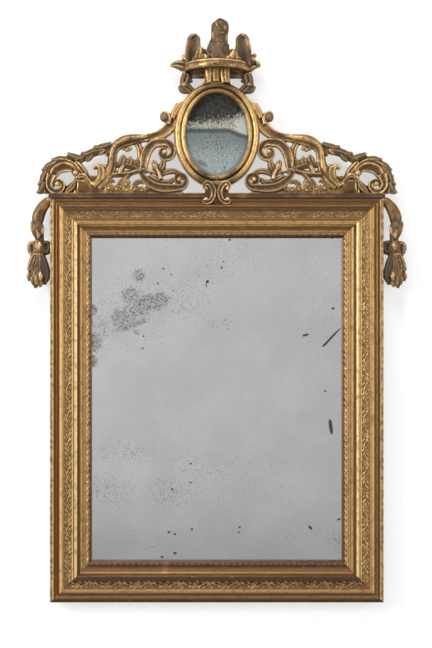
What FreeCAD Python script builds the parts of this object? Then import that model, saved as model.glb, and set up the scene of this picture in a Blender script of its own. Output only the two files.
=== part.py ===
import FreeCAD, Part
import math
import os
from FreeCAD import Placement, Rotation, Vector

# Giltwood wall mirror. Millimetres, +Z up, the wall is the plane y = 0 and the front faces -Y.
# The origin is the middle of the frame on the wall plane.

# Sight size of the main plate
sight_width = 590.0
sight_height = 760.0

# Frame moulding, members from the outer edge inwards
fillet_width = 10.0
scotia_width = 9.0
ogee_width = 11.0
ridge_width = 5.0
frieze_width = 18.0
listel_width = 4.0
torus_width = 9.5
cove_width = 10.5
band_width = 10.0
sight_edge_width = 7.0
lip_width = 3.0

# Frame moulding, heights of the members over one another and the sags of their curves
edge_depth = 40.0
edge_round = 3.0
quirk_drop = 4.0
scotia_sag = 2.5
scotia_lift = 1.0
ogee_sag = 2.0
ridge_sag = 1.8
frieze_step = 3.0
frieze_fall = 4.0
frieze_sag = 1.2
listel_step = 1.5
torus_fall = 6.0
torus_sag = 3.0
cove_quirk = 2.0
cove_fall = 8.0
cove_sag = 2.5
band_fall = 3.0
sight_edge_step = 1.5
sight_edge_fall = 4.5
sight_edge_sag = 1.5
lip_fall = 2.0
lip_thickness = 5.0

# Rebate, plate, blocks and back boards
rebate_width = 10.0
board_lap = 14.0
board_thickness = 10.0
board_count = 3
board_gap = 0.6
block_thickness = 8.0
block_width = 7.5
block_length = 50.0
side_block_shares = (-0.6, 0.0, 0.6)
end_block_shares = (-0.5, 0.5)
plate_thickness = 4.0
plate_clearance = 1.5
board_clearance = 0.5
nail_radius = 1.2
nail_length = 24.0
nail_head_radius = 3.0
nail_head_thickness = 1.2
nail_margin = 28.0
board_nail_shares = (-1.0, 0.0, 1.0)
edge_nail_shares = (-0.3, 0.3)

# Butterfly keys across the mitres
mitre_angle = 45.0
key_length = 60.0
key_width = 18.0
key_waist = 10.0
key_depth = 8.0
key_inset = 36.0

# Crest: reach from the centre line to the outermost leaf, and rise from the frame to the top of the oval
crest_reach = 424.0
crest_rise = 272.0
crest_board = 20.0
crown_root = 3.0
plinth_height = 15.0
plinth_depth = 26.0
plinth_overhang = 12.0
plinth_step = 4.0
plinth_edge = 4.0
plinth_sag = 1.3
seat_clearance = 0.3

# Oval cartouche
oval_sight_width = 147.0
oval_sight_height = 194.0
oval_centre_rise = 146.0
oval_ring_width = 27.5
oval_fillet_width = 6.0
oval_fillet_height = 34.0
oval_fillet_fall = 2.0
oval_groove_width = 3.5
oval_groove_drop = 5.0
oval_groove_sag = 0.9
oval_roll_width = 15.0
oval_roll_fall = 3.0
oval_roll_sag = 6.5
oval_edge_fall = 2.0
oval_lap = 6.0
oval_plate_thickness = 3.0
oval_board_thickness = 8.0
oval_board_recess = 3.0
oval_pin_radius = 1.2
oval_pin_length = 14.0
oval_pin_count = 8
oval_pin_clearance = 0.1

# Battens, screws and dowels that carry the crest
batten_thickness = 14.0
batten_width = 56.0
batten_lap = 66.0
batten_rise = 298.0
cleat_width = 50.0
cleat_lap = 60.0
cleat_rise = 44.0
screw_radius = 2.0
screw_head_radius = 4.0
screw_head_depth = 3.0
screw_length = 30.0
lap_screw_shares = (0.3, 0.75)
dowel_radius = 4.0
dowel_sink = 20.0
bowl_dowel_sink = 12.0
joint_dowel_sink = 12.0
arm_dowel_radius = 3.0

# Coronet
coronet_radius = 76.0
coronet_base_rise = 280.0
drum_height = 16.0
drum_foot_radius = 70.0
drum_top_radius = 73.0
drum_wall = 8.0
rib_height = 8.0
rib_sag = 3.0
rib_gap = 2.0
rim_inner_radius = 66.0
floor_thickness = 5.0
floor_drop = 6.0
fleuron_height = 24.0
fleuron_width = 20.0
fleuron_thickness = 7.0
fleuron_root = 4.0
fleuron_waist = 8.0
fleuron_angles = (-37.0, 0.0, 37.0)
post_foot_width = 44.0
post_top_width = 62.0
post_foot_depth = 26.0
post_top_depth = 44.0
post_flutes = 7
flute_sag = 2.2

# Eagle
eagle_depth = 38.0
eagle_flatness_share = 0.85
beak_radius = 5.5
beak_tip_radius = 1.5
beak_reach = 17.0
beak_drop = 20.0
beak_turn = 5.7
beak_root = 8.0
wing_depth = 28.0
wing_thickness = 15.0

# Pendants
pendant_depth = 24.0
pendant_flatness_share = 0.78
fruit_rows = 3
fruits_per_row = 4
fruit_radius = 8.2
fruit_phase_share = 0.33
pendant_dowel_drop = 14.0
pendant_dowel_sink = 12.0
pendant_dowel_root = 18.0

# Hanging iron on the backs of the stiles
hanger_height = 300.0
hanger_inset = 36.0
pocket_width = 44.0
pocket_height = 84.0
pocket_depth = 12.0
hanger_plate_width = 24.0
hanger_plate_height = 62.0
hanger_plate_thickness = 2.5
ring_radius = 15.0
ring_wire_radius = 2.2
eye_clearance = 0.4
eye_wall = 2.2
eye_thickness = 5.0
eye_sink = 0.5
hanger_screw_spread = 42.0
hanger_screw_length = 16.0

# Turns, and how far a cutting shape runs past what it cuts
quarter_turn = 90.0
half_turn = 180.0
full_turn = 360.0
overrun = 5.0

# Sizes worked out from those above
seat_depth = board_thickness + block_thickness + plate_thickness
lip_front = seat_depth + lip_thickness
sight_edge_foot = lip_front + lip_fall
sight_edge_top = sight_edge_foot + sight_edge_fall
band_foot = sight_edge_top - sight_edge_step
band_top = band_foot + band_fall
cove_top = band_top + cove_fall
torus_foot = cove_top + cove_quirk
torus_top = torus_foot + torus_fall
listel_depth = torus_top + listel_step
frieze_top = torus_top + frieze_fall
ridge_depth = frieze_top + frieze_step
moulding_width = (fillet_width + scotia_width + ogee_width + ridge_width + frieze_width + listel_width
                  + torus_width + cove_width + band_width + sight_edge_width + lip_width)
frame_width = sight_width + 2 * moulding_width
frame_height = sight_height + 2 * moulding_width
frame_side = frame_width / 2
frame_top = frame_height / 2
rebate_inset = moulding_width - rebate_width
board_inset = rebate_inset - board_lap
crest_back = batten_thickness
crest_front = crest_back + crest_board
plinth_top = frame_top + plinth_height

# Carved outlines read off the photograph, as pixel columns, rows and widths on the crest's left half
centre_pixel = 218.5
foot_pixel = 197.5
reach_pixels = 180.5
rise_pixels = 116.0
joint_pixel = 77.0
crown_width_share = 0.84
crown_rise_share = 0.42
eye_share = 0.8
volute_rim_share = 0.33
stations_per_place = 2
steps_between = 3
volute_step = 45.0

arm_pixels = [(182, 110, 9), (173, 120.5, 9), (164, 129, 8.5), (152, 135, 8), (138, 138, 7.5), (126, 139.5, 9),
              (117.5, 144.5, 8.5), (114, 153, 8), (113, 162, 7.5), (110, 171, 8), (104, 179, 8.5), (96, 184, 8)]
foot_leaf_pixels = [(103, 185, 7), (105.5, 176.5, 8), (103, 170, 6.5), (98.5, 167, 5), (94.8, 169.8, 2.5)]
bud_stem_pixels = [(171, 129, 5), (168, 123, 5.5), (165.5, 118.5, 6)]
bud_pixels = (166, 118.5, 5)
c_scroll_pixels = [(151, 174, 5), (146.5, 163, 6.5), (146.5, 152.5, 7), (151, 145.5, 7), (157.5, 142.2, 7)]
c_volute_pixels = (165.6, 151, 8.6, 4, 6.8, 4)
c_volute_turn = (100.0, -290.0)
bowl_pixels = [(138, 166, 5), (141, 174, 6.5), (147.5, 182, 7), (158, 187.2, 7), (170, 188.5, 7)]
bowl_volute_pixels = (181.5, 179.6, 7.8, 3.6, 6.5, 4)
bowl_volute_turn = (-100.0, 280.0)
bowl_leaf_pixels = [(146, 177, 4), (154, 181.3, 7), (164, 183, 7), (175, 181.5, 5)]
heart_stalk_pixels = [(161.5, 184, 4), (160.5, 174, 4.5), (160, 168, 4)]
heart_left_pixels = [(160.5, 173, 3), (157, 167, 6), (155.6, 161, 2.5)]
heart_right_pixels = [(160.5, 173, 3), (163.8, 167, 6), (164.4, 161, 2.5)]
long_leaf_pixels = [(160, 176.5, 3.5), (167, 171.2, 5), (175, 170.5, 5), (184, 175, 3.5)]
sprig_leaf_pixels = [(148, 163.5, 4), (136, 163.5, 7), (126, 163, 8), (113, 164, 4)]
sprig_tip_pixels = [(128, 165, 5), (126, 159.5, 5.5), (124.5, 154.5, 2)]
sprig_bud_pixels = [(133, 165, 4), (135, 160, 4.5), (136.5, 156, 2)]
sprig_stem_pixels = [(149, 168.5, 4), (138, 173.5, 5), (127, 174, 5.5), (111, 174.5, 4)]
sprig_drop_pixels = [(128, 173, 4), (130, 180, 4.5), (129, 189, 5)]
garland_pixels = [(116, 141.5, 5), (103, 149.5, 5.5), (93, 153.8, 5.5), (75, 159, 5)]
garland_tip_pixels = [[(98.5, 153, 5), (97, 148.5, 4.5), (95, 144.5, 1.5)],
                      [(91, 153, 5), (89, 158.5, 4.5), (87, 162.5, 1.5)],
                      [(105, 147.5, 5), (103.5, 153, 4), (102, 157, 1.5)],
                      [(84, 158, 5), (82.5, 155, 4.5), (83.2, 151.5, 1.5)]]
drop_pixels = (127, 147.5, 4)
foot_block_pixels = [(70, 191), (70, 178), (87, 176.5), (97, 179.5), (108, 183), (152, 186.5), (152, 191)]
end_scroll_pixels = [(77.5, 177, 5), (75.5, 170, 6.5), (68, 165.3, 8.5), (58.5, 166.5, 10), (52.3, 173, 9.5)]
end_volute_pixels = (58.2, 184.2, 7.4, 3.8, 5.5, 3)
end_volute_turn = (178.0, 250.0)
fringe_pixels = [(43.5, 192, 8), (46, 181, 8), (50, 170, 7), (57, 162, 7), (68, 158, 6), (80, 158, 5)]
fringe_tip_pixels = [[(47, 189.5, 5), (41.5, 189, 4), (37.2, 190, 1.5)],
                     [(48, 182.5, 6), (43, 183.5, 5), (38.4, 183, 1.5)],
                     [(50, 174, 7), (45.5, 173, 6), (41.8, 169.5, 1.5)],
                     [(57, 165, 7), (54.5, 162, 6), (52.5, 158, 1.5)],
                     [(65, 160, 6), (67.3, 156, 5.5), (69, 152.3, 1.5)]]
small_leaf_pixels = [(78, 190, 6), (73, 186, 6.5), (69.5, 182, 3)]
end_foot_pixels = [(48, 191), (50, 187), (70, 187), (80, 180), (80, 191)]
flower_pixels = [(111.5, 187), (119.5, 186.3), (127.5, 186.8), (135.5, 186.6)]
flower_radius = 9.2
flower_rise = 9.0
flower_heart_radius = 3.8
petal_radius = 4.6
petal_count = 5
petal_lift = 1.2
petal_phase_share = 0.25

cleat_pixel = 93.0
foot_dowel_pixel = 88.0
bowl_dowel_pixel = 166.0
end_dowel_pixel = 63.0
joint_dowel_row_pixel = 187.5
arm_dowel_pixels = (172.5, 185, 117.5)

clasp_pixels = [(207, 186, 5), (213.5, 188.2, 5.5), (216.4, 193.5, 6), (213.5, 199.5, 5.5), (207, 203, 5)]
clasp_curl_pixels = [(207, 187, 4), (207, 202, 4)]
clasp_depth = 8.0
shoulder_pixels = [(191, 92, 7), (185.5, 86, 7), (189.5, 79, 6)]
shoulder_bud_pixels = (182, 86, 4)
side_leaf_pixels = [(190, 69.5, 9), (180, 68, 8), (171, 65, 2)]
eagle_pixels = [(66, 218.5, 8), (58, 218.5, 10.5), (50, 218.5, 10), (43, 218.5, 8.6), (37, 218.5, 8.4),
                (31, 218.5, 9), (27, 218.5, 8.7), (23, 218.5, 6.5), (21, 218.5, 3)]
wing_pixels = [(66, 201, 5.5), (61, 199, 8.5), (56, 198, 11), (50, 197, 9.8), (46, 194.6, 7.7), (42, 193.8, 7),
               (38, 193.8, 5.7), (35.8, 194, 3.5), (34.8, 194.2, 1.6)]

# The pendant, in pixels out from and down from the frame's upper corner, with diameters
pendant_arm_pixels = [(-2, 5.5, 8), (4, 6.5, 9.5), (9.8, 13, 10.5), (12, 23, 11), (11.4, 32, 9), (10.8, 39, 8),
                      (11.3, 46.5, 8)]
pendant_bow_pixels = [(11.3, 48, 12), (5.8, 49.5, 9.5), (19, 49.5, 10.5)]
pendant_tassel_pixels = [(11.6, 50.5, 7), (11.6, 57, 9), (11.6, 66, 17), (11.6, 78, 19), (11.6, 86, 15),
                         (11.6, 91, 6)]


def at(x, depth, z):
    """A point by its place across, its distance from the wall and its height."""
    return Vector(x, -depth, z)


def block(across, depths, heights):
    size = (across[1] - across[0], depths[1] - depths[0], heights[1] - heights[0])
    return Part.makeBox(size[0], size[1], size[2], at(across[0], depths[1], heights[0]))


def rod(start, end, radius):
    return Part.makeCylinder(radius, start.distanceToPoint(end), start, end - start)


def line(start, end):
    return Part.LineSegment(start, end).toShape()


def spline(points):
    curve = Part.BSplineCurve()
    curve.interpolate(points)
    return curve.toShape()


def ball(radius, centre):
    """A sphere whose seam lies aslant, clear of the seams that it crosses."""
    return Part.makeSphere(radius, centre, Vector(1, 2, 3))


def polygon(points):
    return Part.Face(Part.makePolygon(points + points[:1]))


def raised(face, depths):
    """A face drawn on the wall plane, carried forward between two depths."""
    solid = face.extrude(at(0, depths[1] - depths[0], 0))
    solid.translate(at(0, depths[0], 0))
    return solid


def mirrored(shape):
    return shape.mirror(Vector(0, 0, 0), Vector(1, 0, 0))


def one_solid(shape):
    """The largest solid of a result, with split faces joined where they can be."""
    try:
        whole = shape.removeSplitter()
    except Part.OCCError:
        whole = shape
    solids = sorted(whole.Solids, key=lambda solid: solid.Volume)
    return solids[-1]


def ellipse_wire(centre, half_across, half_along, across, along):
    """An ellipse about a centre, with its half axes along two directions."""
    if half_across >= half_along:
        curve = Part.Ellipse(centre + across * half_across, centre + along * half_along, centre)
    else:
        curve = Part.Ellipse(centre + along * half_along, centre - across * half_across, centre)
    return Part.Wire(curve.toShape())


# Frame moulding

class Outline:
    """Edges of a section, drawn through places that a spot function sets in space."""

    def __init__(self, spot, first, second):
        self.spot = spot
        self.start = (first, second)
        self.last = self.start
        self.edges = []

    def to(self, first, second, sag=0):
        """Go on to a place, straight or on an arc that stands off to the left by its sag."""
        start, end = self.last, (first, second)
        if sag:
            run = (end[0] - start[0], end[1] - start[1])
            lift = sag / math.hypot(run[0], run[1])
            middle = ((start[0] + end[0]) / 2 - run[1] * lift, (start[1] + end[1]) / 2 + run[0] * lift)
            edge = Part.Arc(self.spot(start), self.spot(middle), self.spot(end)).toShape()
        else:
            edge = line(self.spot(start), self.spot(end))
        self.edges.append(edge)
        self.last = end

    def wire(self):
        self.to(self.start[0], self.start[1])
        return Part.Wire(self.edges)


def moulding_spot(place):
    """Distance in from the outer edge and depth off the wall, for a rail that lies along X."""
    return Vector(0, -place[1], -place[0])


def moulding_face():
    section = Outline(moulding_spot, 0, 0)
    section.to(0, edge_depth - edge_round)
    section.to(edge_round, edge_depth, edge_round * (1 - math.sqrt(0.5)))
    section.to(fillet_width, edge_depth)
    section.to(fillet_width, edge_depth - quirk_drop)
    inward = fillet_width + scotia_width
    section.to(inward, edge_depth + scotia_lift, -scotia_sag)
    inward += ogee_width
    section.to(inward, ridge_depth, ogee_sag)
    inward += ridge_width
    section.to(inward, ridge_depth, ridge_sag)
    section.to(inward, frieze_top)
    inward += frieze_width
    section.to(inward, torus_top, -frieze_sag)
    section.to(inward, listel_depth)
    inward += listel_width
    section.to(inward, listel_depth)
    section.to(inward, torus_top)
    inward += torus_width
    section.to(inward, torus_foot, torus_sag)
    section.to(inward, cove_top)
    inward += cove_width
    section.to(inward, band_top, -cove_sag)
    inward += band_width
    section.to(inward, band_foot)
    section.to(inward, sight_edge_top)
    inward += sight_edge_width
    section.to(inward, sight_edge_foot, sight_edge_sag)
    section.to(moulding_width, lip_front)
    section.to(moulding_width, seat_depth)
    section.to(rebate_inset, seat_depth)
    section.to(rebate_inset, board_thickness)
    section.to(board_inset, board_thickness)
    section.to(board_inset, 0)
    return Part.Face(section.wire())


def mitred_rail(length, turn, place):
    """A length of moulding mitred at both ends, its outer edge turned outwards and set at a place."""
    half = length / 2
    bar = moulding_face().extrude(Vector(length, 0, 0))
    bar.translate(Vector(-half, 0, 0))
    reach = half + overrun
    inner = half - moulding_width - overrun
    depth = moulding_width + overrun
    corners = [at(-reach, 0, overrun), at(reach, 0, overrun), at(inner, 0, -depth), at(-inner, 0, -depth)]
    rail = bar.common(raised(polygon(corners), (-overrun, ridge_depth + ridge_sag + overrun)))
    rail.Placement = Placement(place, Rotation(Vector(0, 1, 0), turn))
    return rail


def mitre_key(side, up):
    """A butterfly key across one mitre, let in flush with the back."""
    half = key_length / 2
    corners = [(-half, key_width / 2), (0, key_waist / 2), (half, key_width / 2),
               (half, -key_width / 2), (0, -key_waist / 2), (-half, -key_width / 2)]
    key = raised(polygon([at(x, 0, z) for x, z in corners]), (0, key_depth))
    place = at(side * (frame_side - key_inset), 0, up * (frame_top - key_inset))
    key.Placement = Placement(place, Rotation(Vector(0, 1, 0), side * up * mitre_angle))
    return key


# Main plate, its blocks and back boards

plate_inset = rebate_inset + plate_clearance
mirror_plate = block((plate_inset - frame_side, frame_side - plate_inset),
                     (seat_depth - plate_thickness, seat_depth),
                     (plate_inset - frame_top, frame_top - plate_inset))


def plate_blocks():
    depths = (board_thickness, board_thickness + block_thickness)
    outer_x = frame_side - rebate_inset
    outer_z = frame_top - rebate_inset
    half = block_length / 2
    blocks = []
    for share in side_block_shares:
        middle = share * outer_z
        for side in (-1, 1):
            across = sorted((side * outer_x, side * (outer_x - block_width)))
            blocks.append(block(across, depths, (middle - half, middle + half)))
    for share in end_block_shares:
        middle = share * outer_x
        for up in (-1, 1):
            heights = sorted((up * outer_z, up * (outer_z - block_width)))
            blocks.append(block((middle - half, middle + half), depths, heights))
    return blocks


def back_boards():
    reach = frame_side - board_inset - board_clearance
    top = frame_top - board_inset - board_clearance
    pitch = 2 * reach / board_count
    boards = []
    for index in range(board_count):
        left = -reach + index * pitch
        right = left + pitch - (board_gap if index < board_count - 1 else 0)
        boards.append(block((left, right), (0, board_thickness), (-top, top)))
    return boards


def nail(x, z):
    head = rod(at(x, 0, z), at(x, nail_head_thickness, z), nail_head_radius)
    return head.fuse(rod(at(x, 0, z), at(x, nail_length, z), nail_radius)).removeSplitter()


def board_nails():
    """Three nails across each board's top and bottom, and two down each outer edge."""
    ledge = board_inset + board_lap / 2
    nails = []
    for board in boards:
        box = board.BoundBox
        for share in board_nail_shares:
            x = box.Center.x + share * (box.XLength / 2 - nail_margin)
            for up in (-1, 1):
                nails.append(nail(x, up * (frame_top - ledge)))
    for side in (-1, 1):
        for share in edge_nail_shares:
            nails.append(nail(side * (frame_side - ledge), share * sight_height / 2))
    return nails


# Carved scrollwork of the crest

column_size = crest_reach / reach_pixels
row_size = crest_rise / rise_pixels


def crest_x(column):
    return (column - centre_pixel) * column_size


def crest_z(row):
    return frame_top + (foot_pixel - row) * row_size


def crest_at(column, row):
    return at(crest_x(column), 0, crest_z(row))


class Stem:
    """A carved stem or leaf: a smooth line in the crest's plane, with a width at each of its places."""

    def __init__(self, pixels):
        points = [crest_at(column, row) for column, row, width in pixels]
        self.curve = Part.BSplineCurve()
        self.curve.interpolate(points)
        self.marks = [self.curve.parameter(point) for point in points]
        self.widths = [width * column_size for column, row, width in pixels]

    def width_at(self, mark):
        for index in range(1, len(self.marks)):
            if mark <= self.marks[index] or index == len(self.marks) - 1:
                run = self.marks[index] - self.marks[index - 1]
                share = (mark - self.marks[index - 1]) / run
                return self.widths[index - 1] + share * (self.widths[index] - self.widths[index - 1])

    def stations(self):
        count = stations_per_place * (len(self.marks) - 1)
        first, last = self.marks[0], self.marks[-1]
        for index in range(count + 1):
            mark = first + (last - first) * index / count
            along = self.curve.tangent(mark)[0]
            yield self.curve.value(mark), Vector(along.z, 0, -along.x), self.width_at(mark)

    def outline(self):
        left, right = [], []
        for point, across, width in self.stations():
            left.append(point - across * (width / 2))
            right.append(point + across * (width / 2))
        edges = [spline(left), line(left[-1], right[-1]), spline(right[::-1]), line(right[0], left[0])]
        return Part.Face(Part.Wire(edges))

    def crown(self, front):
        """The rounded front of the stem, rooted a little way in the board that carries it."""
        sections = []
        for point, across, width in self.stations():
            half = across * (width * crown_width_share / 2)
            root = point + at(0, front - crown_root, 0)
            peak = point + at(0, front + width * crown_rise_share, 0)
            arc = Part.Arc(root - half, peak, root + half).toShape()
            sections.append(Part.Wire([arc, line(root + half, root - half)]))
        return Part.makeLoft(sections, True)


def volute(pixels, turn):
    """Places on a spiral that winds into an eye, as pixel columns, rows and widths."""
    column, row, outer, inner, wide, narrow = pixels
    steps = math.ceil(abs(turn[1]) / volute_step)
    places = []
    for step in range(steps + 1):
        share = step / steps
        angle = math.radians(turn[0] + share * turn[1])
        radius = outer + share * (inner - outer)
        width = wide + share * (narrow - wide)
        places.append((column + radius * math.cos(angle), row - radius * math.sin(angle), width))
    return places


def disc(pixels):
    return Part.Face(Part.Wire(Part.Circle(crest_at(pixels[0], pixels[1]), Vector(0, 1, 0),
                                           pixels[2] * column_size).toShape()))


def volute_disc(pixels):
    """The round of wood that a volute is cut in."""
    return disc((pixels[0], pixels[1], pixels[2] + pixels[4] * volute_rim_share))


def bud(pixels, front):
    """A round bud, rooted in the board as a stem's crown is."""
    centre = crest_at(pixels[0], pixels[1]) + at(0, front - crown_root, 0)
    return Part.makeSphere(pixels[2] * column_size, centre)


def volute_eye(pixels, front):
    """The button at the middle of a volute."""
    return bud((pixels[0], pixels[1], pixels[3] * eye_share), front)


def carved_board(faces, relief, keep):
    """A pierced board cut to the faces' joint outline and bored, with its relief, trimmed to a region."""
    layers = [raised(face, (crest_back, crest_front)) for face in faces]
    board = layers[0].multiFuse(layers[1:]).removeSplitter()
    bored = board.cut(Part.makeCompound(crest_dowels() + cleat_screws()))
    carved = bored.multiFuse(relief)
    return one_solid(carved.common(keep).cut(oval_space))


def oval_half_sizes(margin):
    return oval_sight_width / 2 + margin, oval_sight_height / 2 + margin


def oval_face(margin):
    half_across, half_up = oval_half_sizes(margin)
    return Part.Face(ellipse_wire(oval_centre, half_across, half_up, Vector(1, 0, 0), Vector(0, 0, 1)))


oval_centre = at(0, 0, frame_top + oval_centre_rise)
relief_front = crest_front + crest_reach
board_top = frame_top + crest_rise + overrun
oval_space = raised(oval_face(oval_ring_width + seat_clearance), (0, relief_front))


def crest_scroll():
    """The left inner board: the arm, its C-scrolls, the sprigs and the garland up to the joint."""
    lines = [arm_pixels, foot_leaf_pixels, bud_stem_pixels, bowl_leaf_pixels, heart_stalk_pixels,
             heart_left_pixels, heart_right_pixels, long_leaf_pixels, sprig_leaf_pixels, sprig_tip_pixels,
             sprig_bud_pixels, sprig_stem_pixels, garland_pixels]
    stems = [Stem(pixels) for pixels in lines + garland_tip_pixels]
    faces = [stem.outline() for stem in stems]
    faces += [Stem(pixels).outline() for pixels in (c_scroll_pixels, bowl_pixels, sprig_drop_pixels)]
    faces += [volute_disc(pixels) for pixels in (c_volute_pixels, bowl_volute_pixels)]
    faces += [disc(pixels) for pixels in (bud_pixels, drop_pixels)]
    faces.append(polygon([crest_at(column, row) for column, row in foot_block_pixels]))
    relief = [stem.crown(crest_front) for stem in stems]
    relief.append(Stem(c_scroll_pixels + volute(c_volute_pixels, c_volute_turn)).crown(crest_front))
    relief.append(Stem(bowl_pixels + volute(bowl_volute_pixels, bowl_volute_turn)).crown(crest_front))
    relief += [volute_eye(pixels, crest_front) for pixels in (c_volute_pixels, bowl_volute_pixels)]
    relief += [bud(pixels, crest_front) for pixels in (bud_pixels, drop_pixels)]
    keep = block((crest_x(joint_pixel), 0), (0, relief_front), (plinth_top, board_top))
    return carved_board(faces, relief, keep)


def end_scroll():
    """The left end board: the great C-scroll and its fringe of pointed leaves."""
    stems = [Stem(pixels) for pixels in (fringe_pixels, small_leaf_pixels)]
    stems += [Stem(pixels) for pixels in fringe_tip_pixels]
    faces = [stem.outline() for stem in stems]
    faces += [Stem(end_scroll_pixels).outline(), volute_disc(end_volute_pixels)]
    faces.append(polygon([crest_at(column, row) for column, row in end_foot_pixels]))
    relief = [stem.crown(crest_front) for stem in stems]
    relief.append(Stem(end_scroll_pixels + volute(end_volute_pixels, end_volute_turn)).crown(crest_front))
    relief.append(volute_eye(end_volute_pixels, crest_front))
    keep = block((-crest_reach - overrun, crest_x(joint_pixel)), (0, relief_front), (plinth_top, board_top))
    return carved_board(faces, relief, keep)


def flower_spray():
    """A row of small roses on a leafy strip, planted on the foot of the left inner board."""
    first, last = flower_pixels[0], flower_pixels[-1]
    strip = block((crest_x(first[0]), crest_x(last[0])),
                  (crest_front - crown_root, crest_front + petal_radius / 2),
                  (crest_z(first[1]) - petal_radius, crest_z(first[1]) + petal_radius / 2))
    pieces = []
    reach = flower_radius - petal_radius
    for column, row in flower_pixels:
        centre = crest_at(column, row) + at(0, crest_front, 0)
        heart = centre + at(0, flower_rise - flower_heart_radius, 0)
        pieces.append(Part.makeSphere(flower_heart_radius, heart))
        for petal in range(petal_count):
            angle = 2 * math.pi * (petal + petal_phase_share) / petal_count
            spot = at(reach * math.cos(angle), petal_lift, reach * math.sin(angle))
            pieces.append(Part.makeSphere(petal_radius, centre + spot))
    behind = block((-crest_reach, 0), (0, crest_front), (frame_top, board_top))
    return one_solid(strip.multiFuse(pieces).cut(behind))


def plinth():
    front = crest_back + plinth_depth
    reach = frame_side + plinth_overhang
    section = Outline(lambda place: at(-reach, place[0], place[1]), crest_back, frame_top)
    section.to(crest_back, plinth_top)
    section.to(front, plinth_top)
    section.to(front, plinth_top - plinth_edge)
    section.to(front - plinth_step, frame_top + plinth_edge, -plinth_sag)
    section.to(front - plinth_step, frame_top)
    return Part.Face(section.wire()).extrude(Vector(2 * reach, 0, 0))


# Oval cartouche

oval_seat = crest_back + oval_board_recess + oval_board_thickness + oval_plate_thickness


def oval_ring():
    """The ring moulding swept round the oval's sight edge, with a rebate behind for its plate."""
    half_across, half_up = oval_half_sizes(0)
    fillet_depth = crest_back + oval_fillet_height
    groove_depth = fillet_depth - oval_groove_drop
    roll_depth = groove_depth - oval_roll_fall
    section = Outline(lambda place: oval_centre + at(0, place[1], half_up + place[0]), 0, crest_back)
    section.to(0, fillet_depth - oval_fillet_fall)
    section.to(oval_fillet_width, fillet_depth)
    outward = oval_fillet_width + oval_groove_width
    section.to(outward, groove_depth, -oval_groove_sag)
    outward += oval_roll_width
    section.to(outward, roll_depth, oval_roll_sag)
    section.to(oval_ring_width, roll_depth - oval_edge_fall)
    section.to(oval_ring_width, crest_back)
    path = ellipse_wire(oval_centre, half_across, half_up, Vector(1, 0, 0), Vector(0, 0, 1))
    ring = path.makePipeShell([section.wire()], True, True)
    return ring.cut(raised(oval_face(oval_lap), (crest_back - overrun, oval_seat)))


def oval_pins():
    """Headless pins driven into the rebate behind the oval's back board."""
    depth = crest_back + oval_board_recess - oval_pin_radius - oval_pin_clearance
    half_across, half_up = oval_half_sizes(oval_lap)
    pins = []
    for index in range(oval_pin_count):
        angle = 2 * math.pi * (index + 0.5) / oval_pin_count
        edge = oval_centre + at(half_across * math.cos(angle), depth, half_up * math.sin(angle))
        outward = Vector(math.cos(angle) / half_across, 0, math.sin(angle) / half_up)
        outward.Length = oval_pin_length / 2
        pins.append(rod(edge - outward, edge + outward, oval_pin_radius))
    return pins


def clasp():
    """Two C-scrolls back to back, coped over the plinth and the outer edge of the top rail."""
    front = crest_back + plinth_depth + clasp_depth
    stem = Stem(clasp_pixels)
    depths = (front - plinth_step - 2 * clasp_depth, front)
    half = [raised(stem.outline(), depths), stem.crown(front)]
    for pixels in clasp_curl_pixels:
        half += [raised(disc(pixels), depths), bud((pixels[0], pixels[1], pixels[2] * eye_share), front)]
    scroll = half[0].multiFuse(half[1:])
    pair = scroll.fuse(mirrored(scroll))
    for neighbour in (nodes["top_rail"], nodes["crest_plinth"], oval_space):
        pair = pair.cut(neighbour)
    return one_solid(pair)


# Coronet, its post and the leaves at its shoulders

coronet_base = frame_top + coronet_base_rise
band_foot_height = coronet_base + drum_height
band_top_height = band_foot_height + 2 * rib_height + rib_gap
floor_top = band_top_height - floor_drop
floor_bottom = floor_top - floor_thickness


def fleuron(angle):
    """A pointed leaf standing on the coronet's rim."""
    half = fleuron_width / 2
    radius = (rim_inner_radius + coronet_radius) / 2
    foot_left = Vector(-half / 2, 0, -fleuron_root)
    foot_right = Vector(half / 2, 0, -fleuron_root)
    tip = Vector(0, 0, fleuron_height)
    edges = [Part.Arc(foot_left, Vector(-half, 0, fleuron_waist), tip).toShape(),
             Part.Arc(tip, Vector(half, 0, fleuron_waist), foot_right).toShape(), line(foot_right, foot_left)]
    leaf = Part.Face(Part.Wire(edges)).extrude(Vector(0, fleuron_thickness, 0))
    leaf.translate(Vector(0, -radius - fleuron_thickness / 2, band_top_height))
    leaf.rotate(Vector(0, 0, 0), Vector(0, 0, 1), angle)
    leaf.translate(at(0, crest_back, 0))
    return leaf


def side_leaf():
    stem = Stem(side_leaf_pixels)
    front = crest_back + crest_board / 2
    return raised(stem.outline(), (crest_back, front)).fuse(stem.crown(front))


def coronet():
    """A hollow half-round circlet on a drum, with a floor for the eagle."""
    section = Outline(lambda place: at(place[0], crest_back, place[1]), 0, floor_bottom)
    section.to(0, floor_top)
    section.to(rim_inner_radius, floor_top)
    section.to(rim_inner_radius, band_top_height)
    section.to(coronet_radius, band_top_height)
    section.to(coronet_radius, band_top_height - rib_height, rib_sag)
    section.to(coronet_radius - rib_gap, band_top_height - rib_height - rib_gap / 2)
    section.to(coronet_radius, band_foot_height + rib_height)
    section.to(coronet_radius, band_foot_height, rib_sag)
    section.to(drum_top_radius, band_foot_height)
    section.to(drum_foot_radius, coronet_base)
    section.to(drum_foot_radius - drum_wall, coronet_base)
    section.to(drum_top_radius - drum_wall, floor_bottom)
    shell = Part.Face(section.wire()).revolve(at(0, crest_back, 0), Vector(0, 0, 1), -half_turn)
    leaves = [fleuron(angle) for angle in fleuron_angles]
    leaves += [side_leaf(), mirrored(side_leaf())]
    return one_solid(shell.multiFuse(leaves))


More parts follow.
